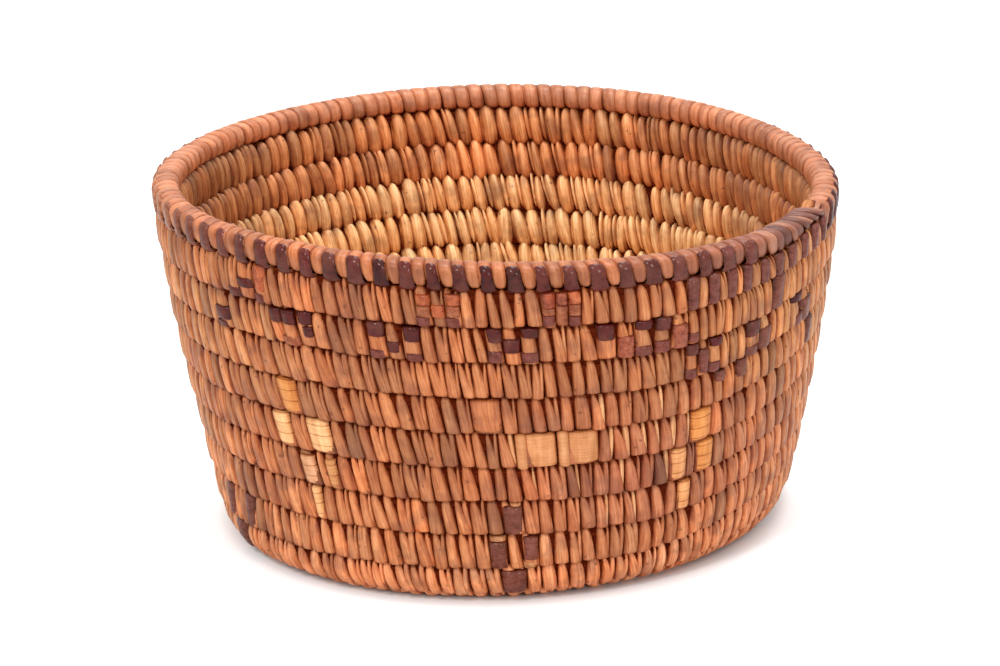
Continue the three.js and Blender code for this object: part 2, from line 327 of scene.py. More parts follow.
class Finish:
    """The node tree of a material or of the world. All its nodes are added by node()."""

    def __init__(self, owner):
        owner.use_nodes = True
        self.tree = owner.node_tree

    def node(self, kind, settings, sockets):
        """Adds a node: its type, then its settings, then its sockets' values or links."""
        made = self.tree.nodes.new(kind)
        for name, value in settings.items():
            setattr(made, name, value)
        for name, value in sockets.items():
            self.plug(self.find(made.inputs, name), value)
        by_name = {output.name: Socket(self, output) for output in made.outputs if output.enabled}
        return {output.identifier: Socket(self, output) for output in made.outputs} | by_name

    def find(self, inputs, name):
        """An input by its index, its identifier or its name."""
        if isinstance(name, int):
            return inputs[name]
        return next((socket for socket in inputs if socket.identifier == name), None) or inputs[name]

    def plug(self, target, value):
        """Links a socket to an input, or sets the input to a plain value or colour."""
        if isinstance(value, Socket):
            self.tree.links.new(value.socket, target)
        elif target.type == "RGBA" and len(value) == 3:
            target.default_value = (*value, 1)
        else:
            target.default_value = value

    def mix(self, factor, first, second, blend="MIX"):
        """A mix of two colours."""
        settings = {"data_type": "RGBA", "blend_type": blend}
        sockets = {"Factor_Float": factor, "A_Color": first, "B_Color": second}
        return self.node("ShaderNodeMix", settings, sockets)["Result_Color"]

    def stretched(self, vector, across, along):
        """Places scaled across and along the fibres."""
        return self.node("ShaderNodeMapping", {}, {"Vector": vector, "Scale": (across, along, 1)})["Vector"]

    def noise(self, vector, scale, detail, roughness=0.5):
        """Noise at the places that the vector gives."""
        sockets = {"Vector": vector, "Scale": scale, "Detail": detail, "Roughness": roughness}
        return self.node("ShaderNodeTexNoise", {}, sockets)["Fac"]

    def rise(self, value, low, high, top=1.0):
        """0 where the value is below low, rising evenly to top at high and staying there."""
        sockets = {"Value": value, "From Min": low, "From Max": high, "To Max": top}
        return self.node("ShaderNodeMapRange", {}, sockets)["Result"]

    def attribute(self, name, output):
        """An attribute that the mesh carries, as a colour or a value."""
        return self.node("ShaderNodeAttribute", {"attribute_name": name}, {})[output]


print("a Finish can", [name for name in vars(Finish) if not name.startswith("_")])

# %% [markdown]
# ## World and floor
#
# The world is white where the camera or a shiny surface sees it, and dimmer as a light, so
# that the background is white without bleaching the basket. The sheet's glow works the same
# way. It starts beside the foot, because right under the basket it would hide the dark line
# of contact.

# %% World and floor
world_light = 0.36
sheet_grey = 0.86
sheet_glow = 0.55
glow_starts = 84 * MM
glow_full = 94 * MM
sheet_reach = 4
sheet_drop = 0.1 * MM

world = bpy.data.worlds.new("studio")
bpy.context.scene.world = world
studio = Finish(world)
rays = studio.node("ShaderNodeLightPath", {}, {})
seen = rays["Is Camera Ray"].larger(rays["Is Glossy Ray"])
background = studio.tree.nodes["Background"]
background.inputs["Color"].default_value = (1, 1, 1, 1)
studio.plug(background.inputs["Strength"], seen * (1 - world_light) + world_light)

floor_mesh = bpy.data.meshes.new("floor")
floor_corners = [(x * sheet_reach, y * sheet_reach, 0) for x, y in ((-1, -1), (1, -1), (1, 1), (-1, 1))]
floor_mesh.from_pydata(floor_corners, [], [(0, 1, 2, 3)])
floor = bpy.data.objects.new("floor", floor_mesh)
bpy.context.scene.collection.objects.link(floor)
floor.location.z = -sheet_drop
floor_material = bpy.data.materials.new("white_sheet")
sheet = Finish(floor_material)
principled = sheet.tree.nodes["Principled BSDF"]
principled.inputs["Base Color"].default_value = (sheet_grey, sheet_grey, sheet_grey, 1)
principled.inputs["Roughness"].default_value = 0.9
principled.inputs["Specular IOR Level"].default_value = 0.1
principled.inputs["Emission Strength"].default_value = 1
floor_rays = sheet.node("ShaderNodeLightPath", {}, {})
floor_place = sheet.node("ShaderNodeTexCoord", {}, {})["Object"]
floor_radius = sheet.node("ShaderNodeVectorMath", {"operation": "LENGTH"}, {"Vector": floor_place})["Value"]
beside_foot = sheet.rise(floor_radius, glow_starts, glow_full)
glow = sheet.mix(floor_rays["Is Camera Ray"] * beside_foot, (0, 0, 0), (sheet_glow, sheet_glow, sheet_glow))
sheet.plug(principled.inputs["Emission Color"], glow)
floor_mesh.materials.append(floor_material)
print("world", world_light, "and sheet", sheet_grey, "of white")

# %% [markdown]
# ## Finishes
#
# Split root is a strap of long fibres: its colour and its shine run in streaks along it. Each
# stitch carries its own dye colour in a mesh attribute, because roots differ from one to the
# next, and the material adds streaks and blotches. A second attribute darkens the ends and
# edges of each strap: partly dirt that handling has left, and partly painted shade where the
# straps meet and dive under one another. The UV map is in millimetres along and across each
# stitch, with a different start on each, so no two stitches show the same streaks. Bark is
# glossy, with a clear coat over broad blotches. Grass is pale, with fine straight lines and now
# and then a crease across it, whose dark line is painted shade.

# %% Colours as a screen shows them
def srgb(red, green, blue):
    """Linear colour from the 0 to 255 values that a screen shows."""
    channels = np.array([red, green, blue]) / 255
    return np.where(channels > 0.04045, ((channels + 0.055) / 1.055) ** 2.4, channels / 12.92)


print("middle grey is", np.round(srgb(128, 128, 128), 3))

# %% A finish of plant fibre
# Scales of noise: across and along the fibres in 1/mm, or the same all ways in 1/m
shade_scales = (0.5, 0.07)
blotch_scale = 240
stain_scale = 130
spot_scale = 420

# How far each layer changes the light, and the noise between which a layer sets in
shade_strength = 0.8
blotch_strength = 0.5
# Darkening by the dirt and painted shade at full strength
grime_strength = 0.78
streak_dulling = 0.35
grime_dulling = 0.15
bump_reach = 0.3
coat_bump_reach = 2.5
# Painted shade in the creases of pale grass
crease_shade_strength = 0.45
crease_sharpness = 40
dye_powers = {"Red": 0.85, "Green": 1.4, "Blue": 1.9}
stain_range = (0.48, 0.66)
spot_range = (0.71, 0.76)
stain_colour = srgb(118, 66, 50)
spot_colour = srgb(96, 44, 26)
coat_roughness = 0.16


def fibre_finish(name, across, along, contrast, roughness, bump, gloss, coat=0.0, spots=0.0, stain=0.0,
                 creases=0.0):
    """A plant fibre: streaks of noise, stretched by its scales across and along in 1/mm.

    Light is 1 plus the streaks and blotches round their middle, less the dirt and painted shade
    that the mesh carries, and less the painted shade of any creases. The dye is multiplied by a
    power of it that is larger for blue, so that dark places, painted shade among them, turn
    redder. The bumps reach deeper under a coat, because bark is wavier than root.
    """
    material = bpy.data.materials.new(name)
    finish = Finish(material)
    shader = finish.tree.nodes["Principled BSDF"]
    uv = finish.node("ShaderNodeUVMap", {"uv_map": "fibre"}, {})["UV"]
    streaks = finish.noise(finish.stretched(uv, across, along), 1.0, 4.0, 0.62)
    shades = finish.noise(finish.stretched(uv, *shade_scales), 1.0, 2.0)
    place = finish.node("ShaderNodeTexCoord", {}, {})["Object"]
    blotches = finish.noise(place, blotch_scale, 3.0, 0.55)
    # The second attribute is dirt and painted shade: dark at strap edges, feet and heads
    dye, grime = finish.attribute("dye", "Color"), finish.attribute("grime", "Fac")
    mottle = (shades - 0.5) * shade_strength
    light = (streaks - 0.5) * contrast + mottle + (blotches - 0.5) * blotch_strength + 1.0
    light = light - grime * grime_strength
    height = streaks
    if creases:
        wave_sockets = {"Vector": uv, "Scale": creases, "Distortion": 1.2, "Detail Scale": 0.4}
        wave = finish.node("ShaderNodeTexWave", {"bands_direction": "Y"}, wave_sockets)["Fac"]
        # A crease is a bump with a dark line, and its dark line is painted shade in the fold
        crease = wave ** crease_sharpness
        light = light - crease * crease_shade_strength
        height = streaks - crease
    channels = {name: light ** power for name, power in dye_powers.items()}
    grey = finish.node("ShaderNodeCombineColor", {}, channels)["Color"]
    colour = finish.mix(1.0, dye, grey, "MULTIPLY")
    if stain:
        stained = finish.rise(finish.noise(place, stain_scale, 3.0), *stain_range, stain)
        colour = finish.mix(stained, colour, stain_colour)
    if spots:
        spotted = finish.rise(finish.noise(place, spot_scale, 1.0), *spot_range, spots)
        colour = finish.mix(spotted, colour, spot_colour)
    finish.plug(shader.inputs["Base Color"], colour)
    dullness = roughness + (streaks - 0.5) * streak_dulling + grime * grime_dulling
    finish.plug(shader.inputs["Roughness"], dullness)
    reach = (bump_reach + coat_bump_reach * coat) * MM
    bump_sockets = {"Height": height, "Strength": bump, "Distance": reach}
    relief = finish.node("ShaderNodeBump", {}, bump_sockets)["Normal"]
    finish.plug(shader.inputs["Normal"], relief)
    shader.inputs["Specular IOR Level"].default_value = gloss
    shader.inputs["Coat Weight"].default_value = coat
    shader.inputs["Coat Roughness"].default_value = coat_roughness
    print("finish", name)
    return material


print("stain", np.round(stain_colour, 3), "spots", np.round(spot_colour, 3))

# %% Finishes of root, bark and grass
root_finish = fibre_finish("split_root", across=1.7, along=0.10, contrast=1.6, roughness=0.40,
                           bump=0.7, gloss=0.32, spots=0.6, stain=0.45)
rim_finish = fibre_finish("rim_root", across=2.0, along=0.10, contrast=1.1, roughness=0.36,
                          bump=0.4, gloss=0.3, stain=0.45)
bark_finish = fibre_finish("glossy_bark", across=0.38, along=0.5, contrast=2.2, roughness=0.28,
                           bump=1.0, gloss=0.05, coat=0.45, stain=0.5)
plate_finish = fibre_finish("tan_grass", across=0.08, along=2.4, contrast=0.7, roughness=0.42,
                            bump=0.3, gloss=0.2)
grass_finish = fibre_finish("pale_grass", across=0.14, along=2.6, contrast=0.8, roughness=0.40,
                            bump=0.30, gloss=0.2, creases=0.09)
bundle_finish = fibre_finish("root_bundle", across=1.4, along=0.05, contrast=1.2, roughness=0.80,
                             bump=0.8, gloss=0.05)

# %% [markdown]
# ## One surface for every strap
#
# Every stitch, wrap and strip is a strap: a flat oval profile carried along a short path.
# Curves with a bevel could draw them, but their section can't follow the bent face of a
# course. So the straps of a whole course are worked out at once, as arrays with one row for
# each strap, one column for each station along it, and one layer for each point of the
# profile. A place function turns the turn, the way along the path and the depth into a point
# of the basket. Each strap is capped at both ends, and has only a few dozen faces.

# %% Straps as arrays
# A profile says where its points lie from side to side, and how high they stand
flat_profile = (np.array([-1, -0.86, -0.42, 0.42, 0.86, 1]), np.array([-1.0, 0.5, 1, 1, 0.5, -1.0]))
bark_profile = (np.array([-1, -0.82, -0.32, 0.32, 0.82, 1]), np.array([-1.0, 0.3, 1, 1, 0.3, -1.0]))
round_profile = (np.array([-1, -0.76, -0.28, 0.28, 0.76, 1]), np.array([-0.4, 0.42, 1, 1, 0.42, -0.4]))
# Painted shade at a strap's side edges, where it meets its neighbours, with some dirt
edge_grime = np.array([0.95, 0.40, 0, 0, 0.40, 0.95])
uv_spread = 300
sharp_edge = 75 * DEGREE


def strap_part(place, turn, left, right, way, depth, thickness, profile, dye, grime, seed):
    """Straps with their UV in millimetres and their colours, ready to be joined into a piece.

    turn is one value a strap, and left and right are degrees from it at each station. way is
    the place along the path, depth that of the strap's crown and thickness its height. These
    and the darkening, which is dirt and painted shade, are one value, a value a station, or a
    row of them for every strap. Painted shade is added at the profile's side edges. The profile
    is stretched from left to right, and the place function turns it all into points.
    """
    way, depth, thickness, grime = (np.broadcast_to(values, left.shape)[..., None]
                                    for values in (way, depth, thickness, grime))
    side, height = profile
    middle, half = (left + right)[..., None] / 2, (right - left)[..., None] / 2
    turns = turn[:, None, None] + (middle + half * side) / 360
    points = place(turns, way, depth + thickness * (1 - height))
    steps = np.linalg.norm(np.diff(points[:, :, len(side) // 2], axis=1), axis=-1)
    along = np.concatenate([np.zeros((len(turn), 1)), np.cumsum(steps, 1)], 1)[..., None]
    width = np.linalg.norm(points[:, :, -1] - points[:, :, 0], axis=-1)[..., None]
    start = np.random.default_rng(seed).uniform(0, uv_spread, (len(turn), 1, 1, 2))
    uv = np.stack(np.broadcast_arrays(width * side / 2, along), -1) / MM + start
    dyes = np.broadcast_to(dye[:, None, None, :], points.shape)
    return {"points": points, "uv": uv, "dye": dyes, "grime": np.clip(grime + edge_grime, 0, 1)}


print("a profile has", len(flat_profile[0]), "points")


# %% Pieces out of straps
def strap_faces(straps, stations, count):
    """Quads between neighbouring stations, and a many-sided cap at both ends of each strap."""
    number = np.arange(straps * stations * count).reshape(straps, stations, count)
    here, beside = number[:, :-1], np.roll(number, -1, 2)[:, :-1]
    quads = np.stack([here, beside, beside + count, here + count], -1).reshape(-1, 4)
    return quads, np.concatenate([number[:, 0, ::-1], number[:, -1]])


def signed_volume(points, quads):
    """Sum of the volumes under the quads, which is below zero if the faces point inwards."""
    a, b, c, d = (points[quads[:, i]] for i in range(4))
    return float((np.cross(a, b) * c).sum() + (np.cross(a, c) * d).sum())


def joined(parts, kind, width):
    """What every point of all the straps has, such as its colour, as rows of this width."""
    return np.concatenate([part[kind].reshape(-1, width) for part in parts])


def make_piece(name, parts, material, node):
    """Joins strap parts into one mesh piece that stands for a CAD node."""
    corners, sizes, first = [], [], 0
    for part in parts:
        flat = part["points"].reshape(-1, 3)
        quads, caps = strap_faces(*part["points"].shape[:3])
        if signed_volume(flat - flat.mean(0), quads) < 0:
            quads, caps = quads[:, ::-1], caps[:, ::-1]
        for faces in (quads, caps):
            corners.append(faces.ravel() + first)
            sizes.append(np.full(len(faces), faces.shape[1]))
        first += len(flat)
    corners, sizes, points = np.concatenate(corners), np.concatenate(sizes), joined(parts, "points", 3)
    colours = np.concatenate([joined(parts, "dye", 3), np.ones((len(points), 1))], 1)
    mesh = bpy.data.meshes.new(name)
    mesh.vertices.add(len(points))
    mesh.loops.add(len(corners))
    mesh.polygons.add(len(sizes))
    mesh.vertices.foreach_set("co", points.ravel())
    mesh.loops.foreach_set("vertex_index", corners)
    mesh.polygons.foreach_set("loop_start", np.cumsum(sizes) - sizes)
    mesh.update(calc_edges=True)
    mesh.uv_layers.new(name="fibre").uv.foreach_set("vector", joined(parts, "uv", 2)[corners].ravel())
    mesh.attributes.new("dye", "FLOAT_COLOR", "POINT").data.foreach_set("color", colours.ravel())
    grimes = joined(parts, "grime", 1).ravel()
    mesh.attributes.new("grime", "FLOAT", "POINT").data.foreach_set("value", grimes)
    mesh.shade_smooth()
    mesh.set_sharp_from_angle(angle=sharp_edge)
    mesh.materials.append(material)
    piece = bpy.data.objects.new(name, mesh)
    bpy.context.scene.collection.objects.link(piece)
    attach(piece, "root")
    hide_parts(node)
    print(name, "has", len(sizes), "faces")


print("a strap of nine stations has", sum(map(len, strap_faces(1, 9, 6))), "faces")

# %% [markdown]
# ## The foundation
#
# Inside the sewing lies a bundle of split root. It shows only as dark fibre in the gaps
# between stitches, dark partly from dirt and partly as painted shade of the gaps, but it also
# keeps light from passing through the wall. A curve with a bevel would do, but its section
# couldn't follow the course. So it is a tube worked out along the whole spiral, whose section
# is a rounded square with a ripple for each strand.

# %% Foundation bundle
strand_count = 12
strand_ripple = 0.25 * MM
bundle_sides = 3 * strand_count
bundle_start_turn = 0.35
bundle_rings_per_turn = 90
bundle_end_gap = 0.012
bundle_clearance = 0.1 * MM
bundle_behind_outside = 1.8 * MM
bundle_behind_inside = 2.9 * MM
bundle_thinning = 1.5 * MM
thinning_turns = 1.03
thinning_change = 0.03
thinning_outside = 0.6
bundle_squareness = 0.6
bundle_uv_radius = 5.0
# The bundle is darkened all over, partly dirt and partly painted shade of the gaps
bundle_grime = 0.7


def rounded_square(way, squareness):
    """Reach outwards and rise of a square of half size 1 with rounded corners.

    way is an angle round it, 0 at the outside and 90 degrees at the top. Its cosine and sine
    are raised to a power below 1, which pushes a circle out into the corners.
    """
    reach = np.sign(np.cos(way)) * np.abs(np.cos(way)) ** squareness
    rise = np.sign(np.sin(way)) * np.abs(np.sin(way)) ** squareness
    return reach, rise


def bundle_place(turn, way, ripple):
    """Point on the bundle at an angle round its section.

    It touches the turns above and below but stays behind the stitches on both faces, and is
    thinner under the rim's wraps.
    """
    under_wraps = bundle_thinning * ease((turn - coil_turns + thinning_turns) / thinning_change)
    lower, upper = course_edge(turn), course_edge(turn + 1) - under_wraps
    half = (upper - lower) / 2 - bundle_clearance + ripple
    behind_outside = bundle_behind_outside + thinning_outside * under_wraps
    behind = np.where(np.cos(way) > 0, behind_outside, bundle_behind_inside)
    half_depth = wall_thickness / 2 - behind + ripple
    reach, rise = rounded_square(way, bundle_squareness)
    return basket_point(turn, (lower + upper) / 2 + half * rise, wall_thickness / 2 - half_depth * reach)


bundle_turns = np.arange(bundle_start_turn, coil_turns - bundle_end_gap, 1 / bundle_rings_per_turn)
around = np.arange(bundle_sides) / bundle_sides * FULL_TURN
ripple = strand_ripple * np.cos(around * strand_count)
bundle_grid = bundle_place(bundle_turns[:, None], around, ripple)
ring_steps = np.linalg.norm(np.diff(bundle_grid[:, 0], axis=0), axis=-1)
bundle_way = np.cumsum(np.concatenate([[0], ring_steps]))[:, None]
# Its dark dye is partly the root's dirt and partly painted shade of the gaps between stitches
bundle_part = {
    "points": bundle_grid[None],
    "uv": np.stack(np.broadcast_arrays(around * bundle_uv_radius, bundle_way / MM), -1)[None],
    "dye": np.broadcast_to(srgb(122, 50, 20), bundle_grid[None].shape),
    "grime": np.full((1, *bundle_grid.shape[:2]), bundle_grime),
}
make_piece("foundation_bundle", [bundle_part], bundle_finish, "foundation_coil")

# %% [markdown]
# ## Colours of the roots
#
# The outside has darkened to an orange-brown, redder low on the right and yellower high on
# the right. Painted light also makes it yellower and lighter at both sides and low down.
# Inside, the lower courses are golden: partly the colour they have kept, and partly painted
# light where the top lamp falls into the bowl. One texture over the whole basket would run
# across the stitches, so a stitch takes the colour of its region and a random part of its own.

# %% Colour of each stitch
red_root = srgb(186, 102, 70)
brown_root = srgb(214, 134, 83)
honey_root = srgb(232, 156, 96)
inner_root = srgb(210, 139, 89)
golden_and_bowl_light_root = srgb(255, 205, 145)
pale_root = srgb(226, 160, 108)
outside_light = 1.03
inside_light = 1.18
light_spread = 0.17
tint_spread = 0.07
tint_direction = np.array([0.3, -0.4, -1.0])


def bump_at(value, centre, width):
    """A smooth hump: 1 at the centre, and 1/e where the value is a width away from it.

    It serves for degrees, which wrap round after half a turn, and for courses.
    """
    away = (value - centre + 180) % 360 - 180
    return np.exp(-((away / width) ** 2))


def root_dye(course, angle, inside, rng):
    """Colour of stitches at degrees right of the front, in courses counted from the rim.

    Inside, gold comes in from the third course down, partly the root's own colour and partly
    painted light that falls into the bowl, and the upper courses are darker at both sides.
    Outside, brown is mixed with red and yellow-brown root in patches, and then darkened as it
    aged, most in the upper courses. Painted light makes the lowest courses and both sides
    lighter and yellower, so that the front is darkest.
    """
    if inside:
        # Gold lower down inside is partly the root's own colour and partly painted light in the bowl
        honey_and_painted_light = np.interp(course, [1, 2, 3, 4], [0.1, 0.06, 0.72, 1.0])
        base = (1 - honey_and_painted_light)[:, None] * inner_root + honey_and_painted_light[:, None] * golden_and_bowl_light_root
        shaded = 1 - 0.42 * bump_at(angle, -105, 32) - 0.30 * bump_at(angle, 105, 32)
        base = base * np.where(course < 4, shaded, 1)[:, None]
    else:
        red = 0.75 * bump_at(angle, 25, 28) * bump_at(course, 5.8, 2.0) + 0.25
        honey_and_painted_light = 0.9 * bump_at(angle, 58, 24) * bump_at(course, 2.5, 2.2)
        honey_and_painted_light = honey_and_painted_light + 0.6 * bump_at(angle, -58, 14) * bump_at(course, 2.2, 1.2)
        # Yellower towards the base and at both sides: painted light
        honey_and_painted_light = honey_and_painted_light + 0.25 * np.clip(course / wall_courses, 0, 1)
        honey_and_painted_light = honey_and_painted_light + 0.5 * bump_at(angle, -84, 16) + 0.3 * bump_at(angle, 82, 14)
        red, honey_and_painted_light = np.clip(red, 0, 1), np.clip(honey_and_painted_light, 0, 1)
        base = (1 - red)[:, None] * brown_root + red[:, None] * red_root
        base = (1 - honey_and_painted_light)[:, None] * base + honey_and_painted_light[:, None] * honey_root
        # Darker in the upper courses as the root aged; lowest course and sides painted lighter as light
        age_and_painted_light = np.interp(course, [1, 3, 5, 6, 7, 8, 9], [0.80, 0.79, 0.80, 0.86, 0.97, 1.04, 1.6])
        age_and_painted_light = age_and_painted_light * (1 + 0.22 * (1 - np.cos(angle * DEGREE)))
        base = base * age_and_painted_light[:, None] ** np.array([1.0, 1.12, 1.4])
    own = rng.normal(0, 1, (len(angle), 2))
    light = (inside_light if inside else outside_light) + light_spread * own[:, :1]
    tint = 1 + tint_spread * own[:, 1:] * tint_direction
    dye = np.clip(base * light * tint, 0, None)
    return dye / np.maximum(dye.max(1, keepdims=True), 1)


print("brown root", np.round(brown_root, 3), "golden root", np.round(golden_and_bowl_light_root, 3))

# %% [markdown]
# ## Stitches
#
# On the outside each stitch is a flat strap. Its foot is square and stands out over the row
# below, and its head is narrower and dives under the row above. A sewer often pierces the
# stitch below and splits its head in two, so many stitches here are made of two prongs.
# Inside, the stitches are fatter and rounder, thickest in the middle, and lean the other way.
# One stitch copied along the coil would be quicker, but every stitch has its own width and
# split, and the gaps between them are what the eye sees first.

# %% Places on a course
smallest_radius = 6 * MM


def outer_place(turn, share, depth):
    """Place on the outside of a course, at a share of its height."""
    return basket_point(turn, course_arc(turn, share), depth)


def inner_place(turn, share, depth):
    """Place on the inside of a course, at a share of its height."""
    return basket_point(turn, course_arc(turn, share), wall_thickness - depth)


def degrees_per_mm(turn, inwards):
    """Degrees round the basket that a millimetre takes halfway up a course."""
    radius = np.maximum(outline(course_arc(turn, 0.5))[0] - inwards, smallest_radius)
    return 360 * MM / (FULL_TURN * radius)


print("a millimetre at the rim takes", round(float(degrees_per_mm(coil_turns - 1.5, 0)), 2), "degrees")

# %% Widths and leans of the stitches
narrowest_stretch = 0.4
front_tighter = 0.2
tight_middle, tight_width = 50, 16
stitch_width_spread = (0.82, 1.18)


def columns_of(seed, first, last, pitch, taken=(), tighter=0.0):
    """Left and right edges of the stitches of a course, in degrees.

    Each taken interval holds one stitch. The stretches between them are shared out at about
    the pitch, which is a little tighter at the front and, where asked, near the coil's end.
    Each stitch is a random part wider or narrower.
    """
    rng = np.random.default_rng(seed)
    lefts, rights = [], []
    edges = [first] + [edge for interval in sorted(taken) for edge in interval] + [last]
    for i in range(0, len(edges), 2):
        left, right = edges[i], edges[i + 1]
        if right - left > narrowest_stretch * pitch:
            middle = (left + right) / 2
            local = pitch - front_tighter * math.cos(middle * DEGREE)
            local = local - tighter * bump_at(middle, tight_middle, tight_width)
            count = max(1, round((right - left) / local))
            widths = rng.uniform(*stitch_width_spread, count)
            bounds = left + (right - left) * np.concatenate([[0], np.cumsum(widths) / widths.sum()])
            lefts.append(bounds[:-1])
            rights.append(bounds[1:])
        if i + 2 < len(edges):
            lefts.append([right])
            rights.append([edges[i + 2]])
    return np.concatenate(lefts), np.concatenate(rights)


def lean_at(angle, course):
    """Lean of the outside stitches in millimetres: most at the left, least at the right."""
    return 1.1 + 2.2 * bump_at(angle, -42, 30) * bump_at(course, 3.8, 3.0) - 0.7 * bump_at(angle, 40, 35)


print("stitches lean", round(float(lean_at(-42, 3.8)), 1), "mm at the left")
print("and", round(float(lean_at(40, 3.8)), 1), "mm at the right")

# %% Outside stitches of a course
outer_stations = np.array([0, 0.035, 0.10, 0.30, 0.52, 0.72, 0.87, 0.955, 1.0])
outer_width = np.array([0.95, 0.99, 1, 1, 1, 1, 0.93, 0.74, 0.34])
outer_dip = np.array([0.9, 0.2, 0.0, 0, 0.05, 0.25, 0.65, 1.15, 2.0]) * MM
# Dirt and painted shade by station: darkest at the foot over the row below, some at the head
outer_grime = np.array([0.9, 0.35, 0.08, 0, 0, 0, 0, 0.05, 0.3])

# Shares of a stitch's width: heads of split and whole planks, and the prong beside a head
split_head = (0.34, 0.56)
whole_head = (0.60, 0.88)
prong_foot_left = (0.50, 0.66)
prong_gap = (0.16, 0.28)
edge_jitter = 0.025
straight_share = 0.12
curve_power = 1.25

# Leans, depths and thicknesses in millimetres, and heights as shares of the course
lean_jitter = 0.45
base_lean = (0.6, 0.3)
foot_jitter = 0.022
head_height = (0.995, 0.025)
prong_raised = 0.03
prong_deeper = 0.3
proud_jitter = 0.14
outer_thickness = (0.75, 1.0)


def outer_stitches(course, left, right, seed, split_share, base=False):
    """Straps of the outside stitches between these edges.

    Each is a plank whose left edge is straight and whose right edge curves in towards the
    head: it follows a power of the way, after a short straight share. Where the root was
    split, a second prong fills the corner that this leaves, a little deeper, so that a dark
    slit opens between the two. In the middle courses right of the front, many of these
    prongs show the pale inner face of the root.
    """
    rng = np.random.default_rng(seed)
    count = len(left)
    width = right - left
    middle = left + width / 2
    middle_turn = turn_in_course(course, (left + right) / 2)
    pale_share = 0.55 * bump_at(middle, 18, 17) * bump_at(course, 5.2, 1.6)
    pale = rng.random(count) < (0 if base else pale_share)
    split = (rng.random(count) < split_share) | pale
    opening = 0.12 * bump_at(middle, -45, 30)
    head = np.where(split, rng.uniform(*split_head, count), rng.uniform(*whole_head, count) - opening)
    prong_foot = rng.uniform(*prong_foot_left, count)
    prong_head = head + rng.uniform(*prong_gap, count)

    # One row for each plank, then one for each prong, with its edges as shares of the width
    keep = np.concatenate([np.ones(count, bool), split])
    prong = np.repeat([False, True], count)[keep]
    which = np.tile(np.arange(count), 2)[keep]
    low_left = np.concatenate([np.full(count, 0.01), prong_foot])[keep]
    low_right = np.repeat([0.99, 0.97], count)[keep]
    top_left = np.concatenate([np.full(count, 0.04), prong_head])[keep]
    top_right = np.concatenate([head, np.full(count, 0.96)])[keep]
    jitter = rng.normal(0, edge_jitter, (4, len(which)))
    lean = lean_at(middle, course) + rng.normal(0, lean_jitter, count)
    if base:
        lean = rng.normal(*base_lean, count)

    station = outer_stations[None, :]
    straight = np.where(prong, 0.0, straight_share)[:, None]
    turned = np.clip((station - straight) / (1 - straight), 0, 1) ** curve_power
    wide, leaning = width[which][:, None], (lean * degrees_per_mm(middle_turn, 0))[which][:, None]
    shift = -wide / 2 + leaning * (0.5 - station)
    left_edge = shift + wide * ((low_left + jitter[0])[:, None] * (1 - station)
                                + (top_left + jitter[1])[:, None] * station)
    right_edge = shift + wide * ((low_right + jitter[2] * 0.3)[:, None] * (1 - turned)
                                 + (top_right + jitter[3])[:, None] * turned)
    centre, half = (left_edge + right_edge) / 2, (right_edge - left_edge) / 2 * outer_width
    low = rng.normal(0.0, foot_jitter, count)[which][:, None] + np.where(prong, prong_raised, 0)[:, None]
    high = rng.normal(*head_height, len(which))[:, None]
    proud = np.abs(rng.normal(0, proud_jitter, len(which)))[:, None] * MM
    proud = proud + np.where(prong, prong_deeper * MM, 0)[:, None]
    groove = (0.2 if base else 0.75) * MM * station**2
    depth = proud + groove + outer_dip * (0.8 if base else 1.0)
    thickness = rng.uniform(*outer_thickness, len(which))[:, None] * MM
    dye = root_dye(np.full(count, course), middle, False, rng)[which]
    dye = np.where((prong & pale[which])[:, None], pale_root, dye)
    grime = outer_grime * rng.uniform(0.6, 1.2, (len(which), 1))
    return strap_part(outer_place, middle_turn[which], centre - half, centre + half,
                      low + (high - low) * station, depth, thickness, flat_profile, dye, grime, seed + 1)


print("a split head takes", split_head, "of a stitch's width")

# %% Inside stitches of a course
inner_stations = np.array([0, 0.05, 0.14, 0.32, 0.52, 0.72, 0.87, 0.96, 1.0])
inner_width = np.array([0.50, 0.76, 0.96, 1.07, 1.07, 0.98, 0.79, 0.54, 0.24])
inner_dip = np.array([2.7, 1.9, 1.2, 0.5, 0.1, 0, 0.35, 0.95, 2.0]) * MM
# Dirt and painted shade by station, darkest at the foot where the stitch dives
inner_grime = np.array([0.95, 0.55, 0.28, 0.12, 0.04, 0.0, 0, 0, 0.2])
inner_split_share = 0.35

# Widths and offsets as shares of a stitch's width, and heights as shares of the course
inner_prong_width, inner_split_width = 0.36, 0.78
inner_prong_offset, inner_split_offset = 0.34, -0.14
inner_offset_jitter = 0.04
inner_fill = (1.0, 1.12)
inner_foot = (-0.05, 0.02)
inner_head = (1.08, 0.03)
inner_prong_raised = 0.12

# Leans, depths and thicknesses in millimetres
inner_lean = (-2.1, 0.7)
inner_proud_jitter = 0.25
inner_prong_proud = 0.35
inner_thickness = (1.5, 2.1)


